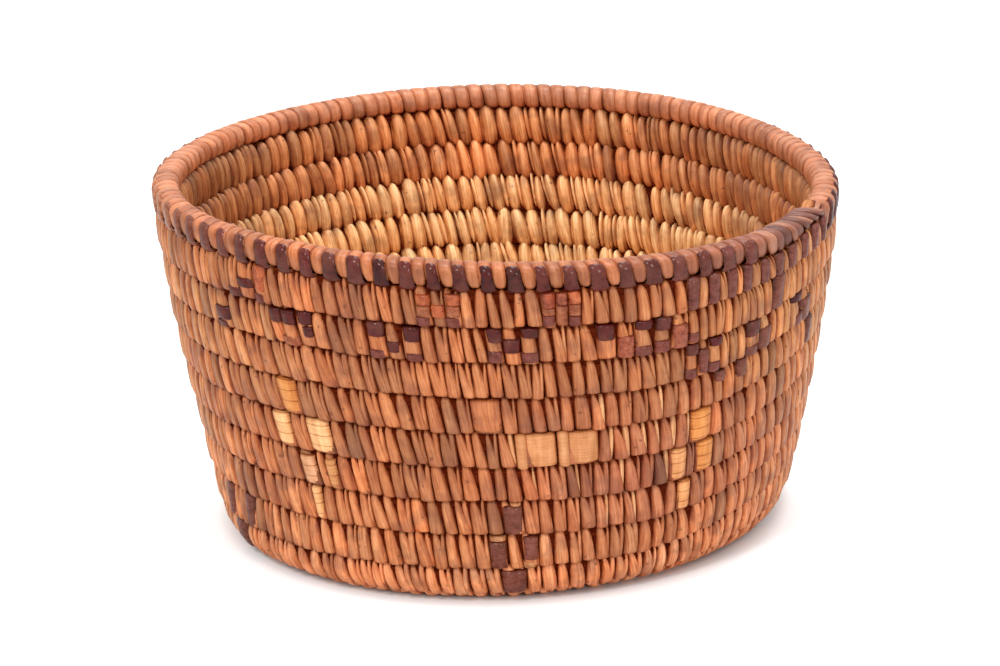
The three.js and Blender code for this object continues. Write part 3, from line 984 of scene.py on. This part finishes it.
def inner_stitches(course, left, right, seed):
    """Straps of the inside stitches between these edges.

    They are fat leaves that lean to the right at their foot. Where one was split, it is
    narrower and a thin second prong stands at its right.
    """
    rng = np.random.default_rng(seed)
    count = len(left)
    middle_turn = turn_in_course(course, (left + right) / 2)
    split = rng.random(count) < inner_split_share
    which = np.concatenate([np.arange(count), np.flatnonzero(split)])
    prong = np.arange(len(which)) >= count
    share = np.where(prong, inner_prong_width, np.where(split[which], inner_split_width, 1.0))
    offset = np.where(prong, inner_prong_offset, np.where(split[which], inner_split_offset, 0.0))
    lean = rng.normal(*inner_lean, count) * degrees_per_mm(middle_turn, wall_thickness / 2)
    station = inner_stations[None, :]
    wide = (right - left)[which][:, None]
    fill = rng.uniform(*inner_fill, len(which))[:, None]
    centre = (offset + rng.normal(0, inner_offset_jitter, len(which)))[:, None] * wide
    centre = centre + lean[which][:, None] * (0.5 - station)
    half = wide / 2 * fill * share[:, None] * inner_width
    low = rng.normal(*inner_foot, len(which))[:, None] + np.where(prong, inner_prong_raised, 0)[:, None]
    high = rng.normal(*inner_head, len(which))[:, None]
    proud = np.abs(rng.normal(0, inner_proud_jitter, len(which))) + np.where(prong, inner_prong_proud, 0)
    thickness = rng.uniform(*inner_thickness, len(which))[:, None] * MM
    dye = root_dye(np.full(count, course), left + (right - left) / 2, True, rng)[which]
    grime = inner_grime * rng.uniform(0.6, 1.1, (len(which), 1))
    return strap_part(inner_place, middle_turn[which], centre - half, centre + half,
                      low + (high - low) * station, proud[:, None] * MM + inner_dip, thickness,
                      round_profile, dye, grime, seed + 1)


print("inside stitches dive", round(inner_dip.max() / MM, 1), "mm at their foot")

# %% [markdown]
# ## The wall
#
# Nine courses of stitches climb the wall. Where a strip of bark or grass is folded under, the
# pattern gives the stitch a place of its own width, so that the strip and the stitch agree.
# A course is one piece, as a sewn course is one length of sewing.

# %% Sewn courses of the wall
# Degrees that a stitch takes, from the course below the rim down
stitch_pitch = [2.45, 2.55, 2.7, 2.8, 2.85, 2.9, 2.95, 3.0, 3.1]
inside_pitch_more = 0.12
end_tightening = 0.8
wall_split_share = 0.55
last_degree = end_angle
first_degree = end_angle - 360

# Stitches that hold a strip, by course: their left and right edges in degrees right of the front
held = {
    1: [(-48.3, -44.8), (-44.6, -41.5), (-14.0, -11.4), (-11.3, -9.0), (-9.0, -6.5), (6.7, 8.9),
        (8.9, 10.8), (10.9, 13.0)],
    2: [(-55.3, -51.7), (-41.7, -39.3), (-39.3, -36.4), (-36.1, -33.1), (-22.9, -19.6), (-19.4, -16.9),
        (-16.7, -13.4), (-2.5, 0.2), (0.3, 3.1), (3.2, 6.1), (15.6, 18.9), (19.1, 21.9), (21.9, 25.1),
        (25.4, 28.3), (28.5, 31.5), (31.6, 33.6), (49.0, 51.7)],
    3: [(-24.3, -22.4), (31.5, 33.7), (33.9, 35.8), (35.9, 38.4), (43.8, 46.8), (46.9, 49.7),
        (55.2, 58.4), (58.6, 62.2)],
    4: [(-42.2, -37.9), (-5.5, -0.3), (37.8, 39.8), (42.3, 44.6)],
    5: [(-44.5, -40.5), (-37.0, -31.9), (2.0, 9.2), (9.3, 16.6), (33.7, 38.1)],
    6: [(-39.7, -35.8), (-33.9, -31.6), (30.3, 33.9), (35.6, 39.6)],
    7: [(-38.1, -35.9), (-0.6, 3.1), (32.8, 35.6)],
    8: [(-68.3, -65.2), (-60.3, -56.6), (-3.3, 0.0), (0.1, 2.9), (3.0, 6.0)],
    9: [(-67.3, -62.0), (-1.2, 3.7)],
}
# Bark that comes down from the rim over the first course, near the coil's end
bead_plates = [(30.8, 32.9), (34.7, 36.7), (38.2, 40.1), (41.4, 43.2), (45.4, 47.1), (48.7, 50.6),
               (52.2, 54.1), (55.8, 57.6), (59.3, 61.2), (62.8, 64.6)]
held[1] += bead_plates

# Numbers such as 100 and 1000 are seeds, which give every course its own random draws
for course, pitch in enumerate(stitch_pitch, 1):
    tighter = end_tightening * (1 < course < 5)
    left, right = columns_of(100 + course, first_degree, last_degree, pitch, held[course], tighter)
    outside = outer_stitches(course, left, right, 1000 + course * 10, wall_split_share)
    left, right = columns_of(150 + course, first_degree, last_degree, pitch + inside_pitch_more)
    parts = [outside, inner_stitches(course, left, right, 2000 + course * 10)]
    level = wall_courses + 1 - course
    make_piece(f"wall_stitches_{level}", parts, root_finish, f"wall_stitching_{level}")

# %% [markdown]
# ## The base
#
# The base is the same spiral lying flat, and its stitches run like rays on both faces. A disc
# with a painted spiral would look bare from below. The same functions serve as for the wall,
# because the outline simply turns flat below the foot, and only the pitch in degrees grows
# towards the middle.

# %% Sewn courses of the base
base_stitch_width = 4.7 * MM
base_split_share = 0.45
for level in range(1, base_courses + 1):
    course = wall_courses + 1 + base_courses - level
    first = max(first_degree, end_angle + 360 * (start_turn - (coil_turns - course)))
    middle_radius = coil_pitch * (level + 0.3)
    pitch = base_stitch_width / (FULL_TURN * middle_radius) * 360
    left, right = columns_of(100 + course, first, last_degree, pitch)
    outside = outer_stitches(course, left, right, 3000 + level * 10, base_split_share, base=True)
    parts = [outside, inner_stitches(course, left, right, 4000 + level * 10)]
    make_piece(f"base_stitches_{level}", parts, root_finish, f"base_stitching_{level}")

# %% [markdown]
# ## The starting knot
#
# The spiral starts as one tight ring, where the maker tied the first fibres and sewed round
# them until the hole was almost closed. The same straps stand in a ring on both faces of the
# base. A flat cap would be simpler, but the rays of the knot are what shows how such a
# basket was begun.

# %% Starting knot
knot_count = 15
knot_hole = 0.9 * MM
knot_thickness = 1.2 * MM
knot_width = np.array([0.7, 0.9, 1, 1, 1, 1, 1, 0.95, 0.6])
knot_dip = np.array([0.9, 0.5, 0.3, 0.1, 0, 0, 0.3, 1.0, 2.2]) * MM
# The knot's straps take the same dirt and painted shade, turned end for end
knot_grime = outer_grime[::-1] * 0.8


def knot_place(turn, share, depth):
    """Place on the starting knot: share 0 is at its hole and 1 at the first turn's edge."""
    edge = course_edge(turn) - sewing_gap / 2
    return basket_point(turn, knot_hole + share * (edge - knot_hole), depth)


def knot_place_above(turn, share, depth):
    """The same on the inside of the basket."""
    return knot_place(turn, share, wall_thickness - depth)


knot_turn = start_turn + (np.arange(knot_count) + 0.5) / knot_count
knot_half = np.full((knot_count, 1), 360 / knot_count / 2) * knot_width
knot_rng = np.random.default_rng(77)
knot_parts = []
for place, inside in ((knot_place, False), (knot_place_above, True)):
    # The knot takes the dyes of the lowest course, their painted light included
    dye = root_dye(np.full(knot_count, 9), np.zeros(knot_count), inside, knot_rng)
    knot_parts.append(strap_part(place, knot_turn, -knot_half, knot_half, outer_stations, knot_dip,
                                 knot_thickness, flat_profile, dye, knot_grime, 78))
make_piece("starting_knot", knot_parts, root_finish, "base_starting_knot")

# %% [markdown]
# ## The rim
#
# The last turn is overcast: wraps go right over it, side by side, so the rim looks like a
# smooth red-brown rope. A torus with a bump texture would look moulded, so each wrap is a
# strap along the rounded section, from low on the outside over the top to low on the inside,
# and leans a little on its way. The wraps crowd a little at the front and behind the coil's
# end.

# %% Wraps over the rounded section
rim_inset = 1.1 * MM
smallest_half = 0.1 * MM
overhang = 0.5 * MM
wrap_curl = 0.2
wrap_way = np.radians(np.array([-78, -60, -35, -5, 25, 48, 68, 90, 112, 135, 160, 190, 218, 245, 262]))
wrap_swell = np.array([0.64, 0.78, 0.88, 0.97, 1, 1, 1, 1, 1, 1, 1, 1, 0.97, 0.9, 0.6])
# Dirt and painted shade where the wrap turns under on both faces, less at its front edges
wrap_grime = np.array([0.55, 0.0, -0.35, -0.3, 0, 0, 0, 0, 0, 0, 0, 0, 0.1, 0.5, 0.9])
wrap_lift = np.array([-0.4, -0.35, -0.25, -0.1, 0, 0, 0, 0, 0, 0, 0, 0, 0, 0, 0]) * MM


def section_place(turn, way, depth):
    """Point on the section of a course, at an angle round it and a depth inwards.

    The section is a rounded square. Its lower outer quarter is squarer and hangs a little
    over the course below.
    """
    lower, upper = course_edge(turn), course_edge(turn + 1)
    middle, half = (lower + upper) / 2, np.maximum((upper - lower) / 2 - depth, smallest_half)
    half_depth = wall_thickness / 2 - depth
    outside_below = (np.sin(way) < 0) & (np.cos(way) > 0)
    reach, rise = rounded_square(way, np.where(outside_below, 0.5, 0.8))
    drop = np.where(outside_below, rise * overhang, 0)
    return basket_point(turn, middle + half * rise + drop, wall_thickness / 2 - half_depth * reach)


def wrap_part(angle, pitch, way, lean, lift, thickness, swell, grime, dye, seed, profile=flat_profile):
    """Straps over the rounded section of the rim's turn, centred at these degrees.

    way holds the angles round the section: one row for all the straps, or a row for each. A
    wrap slides by its lean on its way over the top. On the outside it is set in by the square
    of the angle's cosine.
    """
    slide = lean[:, None] * (np.cos(way) * wrap_curl - (way - math.pi / 2) / 2)
    half = pitch[:, None] / 2 * swell
    depth = rim_inset * np.clip(np.cos(way), 0, 1) ** 2 - lift
    return strap_part(section_place, turn_in_course(0, angle), slide - half, slide + half, way, depth,
                      thickness, profile, dye, grime, seed)


def wrap_dyes(count, base, spread, rng):
    """Colours of wraps round a base colour."""
    own = np.clip(rng.normal(0, 1, (count, 2)), -1.6, 1.6)
    return np.clip(base * (1 + spread * own[:, :1]) * (1 + 0.05 * own[:, 1:] * tint_direction), 0, 1)


print("a wrap runs over", round(math.degrees(wrap_way[-1] - wrap_way[0])), "degrees of the section")

# %% Overcast wraps of the rim
count_from = -329.3
beads_to = 46
bead_middle = 2.0
wrap_pitch_mean = 2.42
front_tightening = 0.18
start_tightening = 0.5
start_middle, start_width = -312, 22
worn_middle, worn_width = 44, 20
# The rim's root with painted sheen from overhead, used away from the front
rim_root = srgb(206, 134, 96)
rim_front_root = srgb(188, 113, 71)
worn_root = srgb(140, 84, 68)
dark_end_root = srgb(124, 76, 62)
pale_end_root = srgb(172, 112, 86)

# Wraps are numbered from one at the front, by counting their pitches along the rim
degree_grid = np.linspace(count_from, last_degree, 2000)
start_share = np.exp(-(((degree_grid - start_middle) / start_width) ** 2))
pitch_grid = wrap_pitch_mean - front_tightening * np.cos(degree_grid * DEGREE)
pitch_grid = pitch_grid - start_tightening * start_share
count_grid = np.concatenate([[0], np.cumsum(np.diff(degree_grid) / pitch_grid[:-1])])
count_grid -= np.interp(bead_middle, degree_grid, count_grid)
wrap_numbers = np.arange(math.ceil(count_grid[0]), math.floor(count_grid[-1]) + 1)
wrap_angle = np.interp(wrap_numbers, count_grid, degree_grid)
wrap_pitch = np.interp(wrap_angle, degree_grid, pitch_grid)
is_bead = (wrap_numbers % 2 == 0) & (wrap_angle < beads_to) & (wrap_angle > first_degree + 1)
on_rim = (wrap_angle > first_degree) & (wrap_angle < beads_to + 1)

rim_rng = np.random.default_rng(5)
rim_angle = wrap_angle[on_rim]
rim_count = len(rim_angle)
# Away from the front the root is paler and bluer: painted sheen on the top of the rim
front = np.clip(np.cos(rim_angle * DEGREE) * 1.3, 0, 1)[:, None]
worn = 0.75 * bump_at(rim_angle, worn_middle, worn_width)[:, None]
rim_dyes = (1 - front) * rim_root + front * rim_front_root
rim_dyes = wrap_dyes(rim_count, (1 - worn) * rim_dyes + worn * worn_root, 0.12, rim_rng)
rim_widths = wrap_pitch[on_rim] * rim_rng.uniform(1.04, 1.14, rim_count)
rim_lean = rim_rng.normal(0.5, 0.12, rim_count)
rim_lift = wrap_lift + rim_rng.uniform(-0.35, -0.15, (rim_count, 1)) * MM
wraps = wrap_part(rim_angle, rim_widths, wrap_way, rim_lean, rim_lift, 0.7 * MM, wrap_swell, wrap_grime,
                  rim_dyes, 62)

# Near the coil's end two wraps of three are dark
end_pitch = 1.7
end_angles = np.arange(beads_to + 1.4, last_degree - 2.2, end_pitch)
end_count = len(end_angles)
end_dark = (np.arange(end_count) % 3 > 0)[:, None]
dark_end_dye = wrap_dyes(end_count, dark_end_root, 0.25, rim_rng)
pale_end_dye = wrap_dyes(end_count, pale_end_root, 0.1, rim_rng)
end_angles = end_angles + rim_rng.normal(0, 0.3, end_count)
end_widths = rim_rng.uniform(1.8, 2.7, end_count)
end_lift = rim_rng.uniform(-0.5, 0.2, (end_count, 1)) * MM
end_lean = np.linspace(0.8, 1.9, end_count)
end_dye = np.where(end_dark, dark_end_dye, pale_end_dye)
end_wraps = wrap_part(end_angles, end_widths, wrap_way, end_lean, end_lift, 0.8 * MM, wrap_swell, wrap_grime,
                      end_dye, 64)
make_piece("rim_wraps", [wraps, end_wraps], rim_finish, "rim_overcasting")

# %% [markdown]
# ## Folded strips
#
# Short strips of bark and grass are laid on the face of a course and caught by the stitches,
# so the pattern shows as squares of colour. Painting them into the stitches' colour would
# leave them without an edge, so each square is a strap again, wide and thin. Its row says its
# course, its edges in degrees, its lower and upper share of the course's height, its colour
# and how far it stands out in millimetres.

# %% Straps of bark and grass
strip_stations = np.array([0, 0.05, 0.14, 0.5, 0.86, 0.95, 1])
strip_width = np.array([0.95, 1, 1, 1, 1, 1, 0.95])
strip_dip = np.array([0.9, 0.2, 0, 0, 0, 0.2, 0.9]) * MM
strip_thickness = 0.8 * MM
# Bark has lighter edges than root, and painted shade at strip ends where they dip, with dirt
bark_grime = -0.3
strip_grime = strip_dip / strip_dip[0] * 0.6 + bark_grime
bark_lean = 0.08
grass_lean = 0.35
least_slant = 0.1
slant_jitter = 0.1
strip_light_spread = 0.08
strip_dive = 0.3 * MM
colours = {
    "dark": srgb(88, 20, 14), "purple": srgb(122, 58, 46), "plum": srgb(130, 68, 52),
    "russet": srgb(170, 88, 60), "brown": srgb(162, 88, 54), "red": srgb(170, 76, 46),
    "orange": srgb(184, 92, 52), "pale": srgb(246, 184, 126), "golden": srgb(228, 148, 80),
    "tan": srgb(208, 141, 92), "root": srgb(196, 116, 70), "band": srgb(124, 64, 52),
    "straw": srgb(234, 162, 104), "rose": srgb(234, 168, 122),
}


def column(course, left, right, *squares):
    """Rows of squares above one another, each given as its two shares, colour and lift."""
    return [(course, left, right, *square) for square in squares]


def strips_part(rows, seed, lean_share):
    """Straps for the rows, which take this share of the lean of the stitches round them.

    A strap slides evenly by its slant from the foot to the head, and dives a little towards
    the head with the square of its height.
    """
    rng = np.random.default_rng(seed)
    course, left, right, low, high = (np.array([row[i] for row in rows], float) for i in range(5))
    lift = np.array([row[6] for row in rows])[:, None] * MM
    dye = np.array([colours[row[5]] for row in rows])
    dye = dye * (1 + strip_light_spread * rng.normal(0, 1, (len(rows), 1)))
    middle = (left + right) / 2
    half = (right - left)[:, None] / 2 * strip_width
    slant = least_slant + lean_share * lean_at(middle, course) + rng.normal(0, slant_jitter, len(rows))
    slant = slant[:, None] * (0.5 - strip_stations)
    way = low[:, None] + (high - low)[:, None] * strip_stations
    depth = strip_dip - lift + strip_dive * way**2
    return strap_part(outer_place, turn_in_course(course, middle), slant - half, slant + half, way, depth,
                      strip_thickness, bark_profile, np.clip(dye, 0, 1), strip_grime, seed + 1)


def make_strips(name, node, finish, strips, first_seed, lean_share):
    """A piece for each strip, which is a list of rows."""
    for number, rows in enumerate(strips, 1):
        part = strips_part(rows, first_seed + number, lean_share)
        make_piece(f"{name}_{number}", [part], finish, f"{node}_{number}")


print(len(colours), "colours of bark and grass")

# %% [markdown]
# ## The beading
#
# Dark bark is laid over every second wrap of the rim, which gives the beaded edge. The beads
# flare below, where the bark spreads, and are worn to brown here and there. Near the coil's
# end the bark comes down under the stitches of the first course instead. Beads are wraps of
# their own, a little higher than the root's, so that both materials keep a true edge.

# %% Beading strip
bead_way = np.radians(np.array([-80, -62, -38, -10, 16, 42, 62, 70]))
bead_swell = np.array([1.40, 1.32, 1.10, 1.02, 1.0, 1.02, 1.02, 0.9])
bead_lift = np.array([0.5, 0.45, 0.35, 0.2, 0.05, 0, 0, 0]) * MM
bead_thickness = np.array([0.34, 0.36, 0.40, 0.44, 0.5, 0.5, 0.5, 0.5]) * MM
bead_shortening = 0.42
dark_bark = srgb(84, 16, 10)
plain_band = srgb(196, 124, 86)
plain_middle, plain_width = -84, 18
left_worn_middle, left_worn_width = -55, 16

bead_angle = wrap_angle[is_bead]
bead_count = len(bead_angle)
at_back = np.clip(-np.cos(bead_angle * DEGREE), 0, 1)[:, None] ** 0.5
bead_ways = np.where(bead_way > 0, bead_way * (1 - bead_shortening * at_back), bead_way)
bead_rng = np.random.default_rng(9)
bead_share = bump_at(bead_angle, plain_middle, plain_width)[:, None]
bead_worn = 0.8 * bump_at(bead_angle, worn_middle, worn_width)[:, None]
bead_worn = bead_worn + 0.45 * bump_at(bead_angle, left_worn_middle, left_worn_width)[:, None]
bead_worn = np.clip(bead_worn + bead_rng.uniform(-0.1, 0.25, (bead_count, 1)), 0, 1)
bead_dye = (1 - bead_worn) * wrap_dyes(bead_count, dark_bark, 0.25, bead_rng) + bead_worn * colours["band"]
bead_dye = (1 - bead_share) * bead_dye + bead_share * plain_band
bead_widths = wrap_pitch[is_bead] * bead_rng.uniform(0.88, 1.16, bead_count)
bead_lifts = bead_lift + bead_rng.uniform(0.1, 0.3, (bead_count, 1)) * MM
beads = wrap_part(bead_angle, bead_widths, bead_ways, np.full(bead_count, 0.5), bead_lifts, bead_thickness,
                  bead_swell, bark_grime, bead_dye, 72, bark_profile)
plate_rows = [(1, left, right, 0.0, 1.0, "band", 0.4) for left, right in bead_plates]
plates = strips_part(plate_rows, 72, bark_lean)
make_piece("rim_beading", [beads, plates], bark_finish, "rim_beading_strip")

# %% [markdown]
# ## Dark and red squares
#
# The second course carries small checks: dark bark above, lighter root between, and purple
# bark below. Right of the front they step down to the third and fourth course. The tabs of
# the first course are red or brown.

# %% Dark checks
make_strips("dark_check_strip", "dark_check", bark_finish, [
    [(2, -55.3, -51.7, 0.2, 0.56, "dark", 0.5), (2, -55.3, -51.9, 0.0, 0.16, "dark", 0.2)],
    [(2, -41.7, -39.5, 0.55, 0.94, "dark", 0.4), (2, -39.3, -36.7, 0.55, 0.94, "dark", 0.4),
     (2, -35.9, -33.3, 0.63, 1.0, "dark", 0.4), (2, -35.0, -33.0, 0.3, 0.6, "dark", 0.3),
     (2, -39.4, -35.9, 0.0, 0.24, "brown", 0.3)],
    [(2, -22.9, -19.8, 0.59, 1.0, "dark", 0.5), (2, -22.6, -19.6, 0.0, 0.24, "purple", 0.3)],
    [(2, -19.3, -17.1, 0.2, 0.5, "dark", 0.5), (2, -16.5, -13.6, 0.53, 0.95, "dark", 0.5),
     (2, -16.2, -13.2, 0.0, 0.22, "purple", 0.3)],
    [(2, -2.4, 0.2, 0.6, 1.0, "dark", 0.5), (2, -2.3, 0.3, 0.04, 0.38, "purple", 0.4)],
    [(2, 0.3, 3.1, 0.32, 0.7, "dark", 0.7), (2, 3.3, 6.1, 0.73, 1.0, "dark", 0.5),
     (2, 3.2, 6.2, 0.04, 0.34, "purple", 0.4)],
    [(2, 15.6, 18.6, 0.55, 1.0, "dark", 0.5), (2, 19.2, 22.0, 0.0, 0.62, "russet", 0.5)],
    [(2, 22.0, 25.0, 0.74, 1.0, "dark", 0.5), (2, 22.0, 25.1, 0.0, 0.3, "purple", 0.4),
     (2, 25.5, 28.2, 0.63, 1.0, "dark", 0.5), (2, 25.5, 28.3, 0.0, 0.35, "purple", 0.4),
     (2, 28.6, 31.4, 0.0, 0.7, "russet", 0.5), (2, 31.6, 33.5, 0.07, 0.36, "purple", 0.4),
     (3, 31.5, 33.7, 0.68, 1.0, "dark", 0.5), (3, 31.5, 33.7, 0.0, 0.3, "purple", 0.4),
     (3, 33.9, 35.8, 0.06, 0.76, "purple", 0.5), (3, 35.9, 38.3, 0.75, 1.0, "dark", 0.5),
     (3, 35.9, 38.3, 0.0, 0.3, "purple", 0.4), (4, 37.8, 39.7, 0.62, 0.94, "plum", 0.4),
     (3, 43.8, 46.7, 0.54, 1.0, "dark", 0.4), (3, 43.8, 46.7, 0.0, 0.28, "purple", 0.4),
     (3, 46.9, 49.7, 0.0, 0.63, "plum", 0.4), (4, 42.4, 44.5, 0.48, 1.0, "plum", 0.4),
     (2, 49.0, 51.7, 0.0, 1.0, "plum", 0.4), (3, 55.2, 58.2, 0.76, 1.0, "dark", 0.4),
     (3, 56.3, 59.6, 0.0, 0.36, "purple", 0.4), (3, 58.8, 62.2, 0.0, 0.66, "plum", 0.4),
     (4, 62.0, 64.8, 0.1, 0.9, "plum", 0.4)],
], 499, bark_lean)

# %% Red tabs
make_strips("red_strip", "red_tab", bark_finish, [
    [(1, -50.7, -47.9, 0.0, 0.25, "dark", 0.3)],
    [(1, -48.2, -44.9, 0.33, 0.57, "dark", 0.6)],
    [(1, -44.2, -42.0, 0.28, 1.0, "orange", 0.4), (1, -44.4, -41.8, 0.0, 0.26, "purple", 0.3)],
    column(1, -14.0, -11.4, (0.57, 0.85, "orange", 0.5), (0.26, 0.57, "brown", 0.5),
           (0.0, 0.26, "purple", 0.5)),
    [(1, -11.4, -9.0, 0.25, 0.6, "orange", 0.6)],
    column(1, -9.0, -6.5, (0.6, 0.9, "orange", 0.5), (0.28, 0.6, "brown", 0.5), (0.0, 0.28, "purple", 0.5)),
    column(1, 6.7, 8.9, (0.55, 0.95, "red", 0.5), (0.36, 0.55, "brown", 0.5), (0.06, 0.36, "purple", 0.5)),
    column(1, 8.9, 10.9, (0.08, 0.63, "brown", 0.6), (0.63, 0.95, "russet", 0.5)),
    column(1, 10.9, 13.0, (0.65, 0.98, "orange", 0.5), (0.32, 0.65, "brown", 0.5),
           (0.04, 0.32, "purple", 0.5)),
], 507, bark_lean)

# %% [markdown]
# ## Diamonds and plates
#
# Dark diamonds stand low on the wall at the front and the left, each of single squares about
# an open middle. Pale ones of grass stand higher at both sides, and three wide plates lie
# between them. The widest two have a narrow flap that is folded over their left edge.

# %% Dark diamonds
make_strips("dark_diamond_strip", "dark_diamond_tab", bark_finish, [
    [(7, -0.6, 3.1, 0.02, 0.86, "plum", 0.3), (7, 0.7, 2.7, 0.87, 0.97, "tan", 0.3)],
    [(8, -3.3, 0.0, 0.0, 0.8, "plum", 0.3), (8, -3.3, -0.1, 0.83, 0.97, "tan", 0.2)],
    [(8, 3.0, 5.9, 0.22, 0.93, "plum", 0.3), (8, 3.0, 5.5, 0.0, 0.2, "tan", 0.3)],
    [(9, -1.2, 3.7, 0.08, 0.9, "plum", 0.3)],
    [(8, -68.2, -65.3, 0.02, 0.95, "plum", 0.3)],
    [(8, -60.2, -56.7, 0.02, 0.95, "plum", 0.3)],
    [(9, -67.2, -62.1, 0.02, 0.95, "plum", 0.3)],
], 516, bark_lean)

# %% Pale diamonds
make_strips("pale_diamond_strip", "pale_diamond_tab", grass_finish, [
    [(4, -42.1, -38.0, 0.05, 0.95, "golden", 0.3)],
    [(5, -44.4, -40.6, 0.05, 0.95, "pale", 0.3)],
    [(5, -36.9, -32.0, 0.05, 0.95, "pale", 0.3)],
    [(6, -39.4, -36.2, 0.05, 0.84, "rose", 0.3)],
    [(6, -33.8, -31.7, 0.05, 0.84, "straw", 0.3)],
    [(7, -38.0, -36.0, 0.05, 0.95, "pale", 0.3)],
    [(5, 33.8, 38.0, 0.05, 0.95, "golden", 0.4)],
    [(6, 30.5, 33.7, 0.05, 0.95, "straw", 0.3)],
    [(6, 35.9, 39.4, 0.05, 0.95, "golden", 0.3)],
    [(7, 32.9, 35.4, 0.05, 0.92, "straw", 0.3)],
], 599, grass_lean)

# %% Wide plates
wide_plates = [
    ([(5, 3.6, 9.1, 0.02, 0.96, "tan", 0.3), (5, 2.0, 4.0, -0.03, 0.98, "tan", 0.8)], plate_finish),
    ([(5, 10.9, 16.5, 0.06, 0.97, "tan", 0.3), (5, 9.3, 11.3, 0.0, 1.02, "tan", 0.8)], plate_finish),
    ([(4, -5.4, -0.4, 0.05, 0.94, "root", 0.3)], root_finish),
]
for number, (rows, finish) in enumerate(wide_plates, 1):
    plate = strips_part(rows, 609 + number, grass_lean)
    make_piece(f"wide_strip_{number}", [plate], finish, f"wide_plate_{number}")

# %% [markdown] ## The finished basket
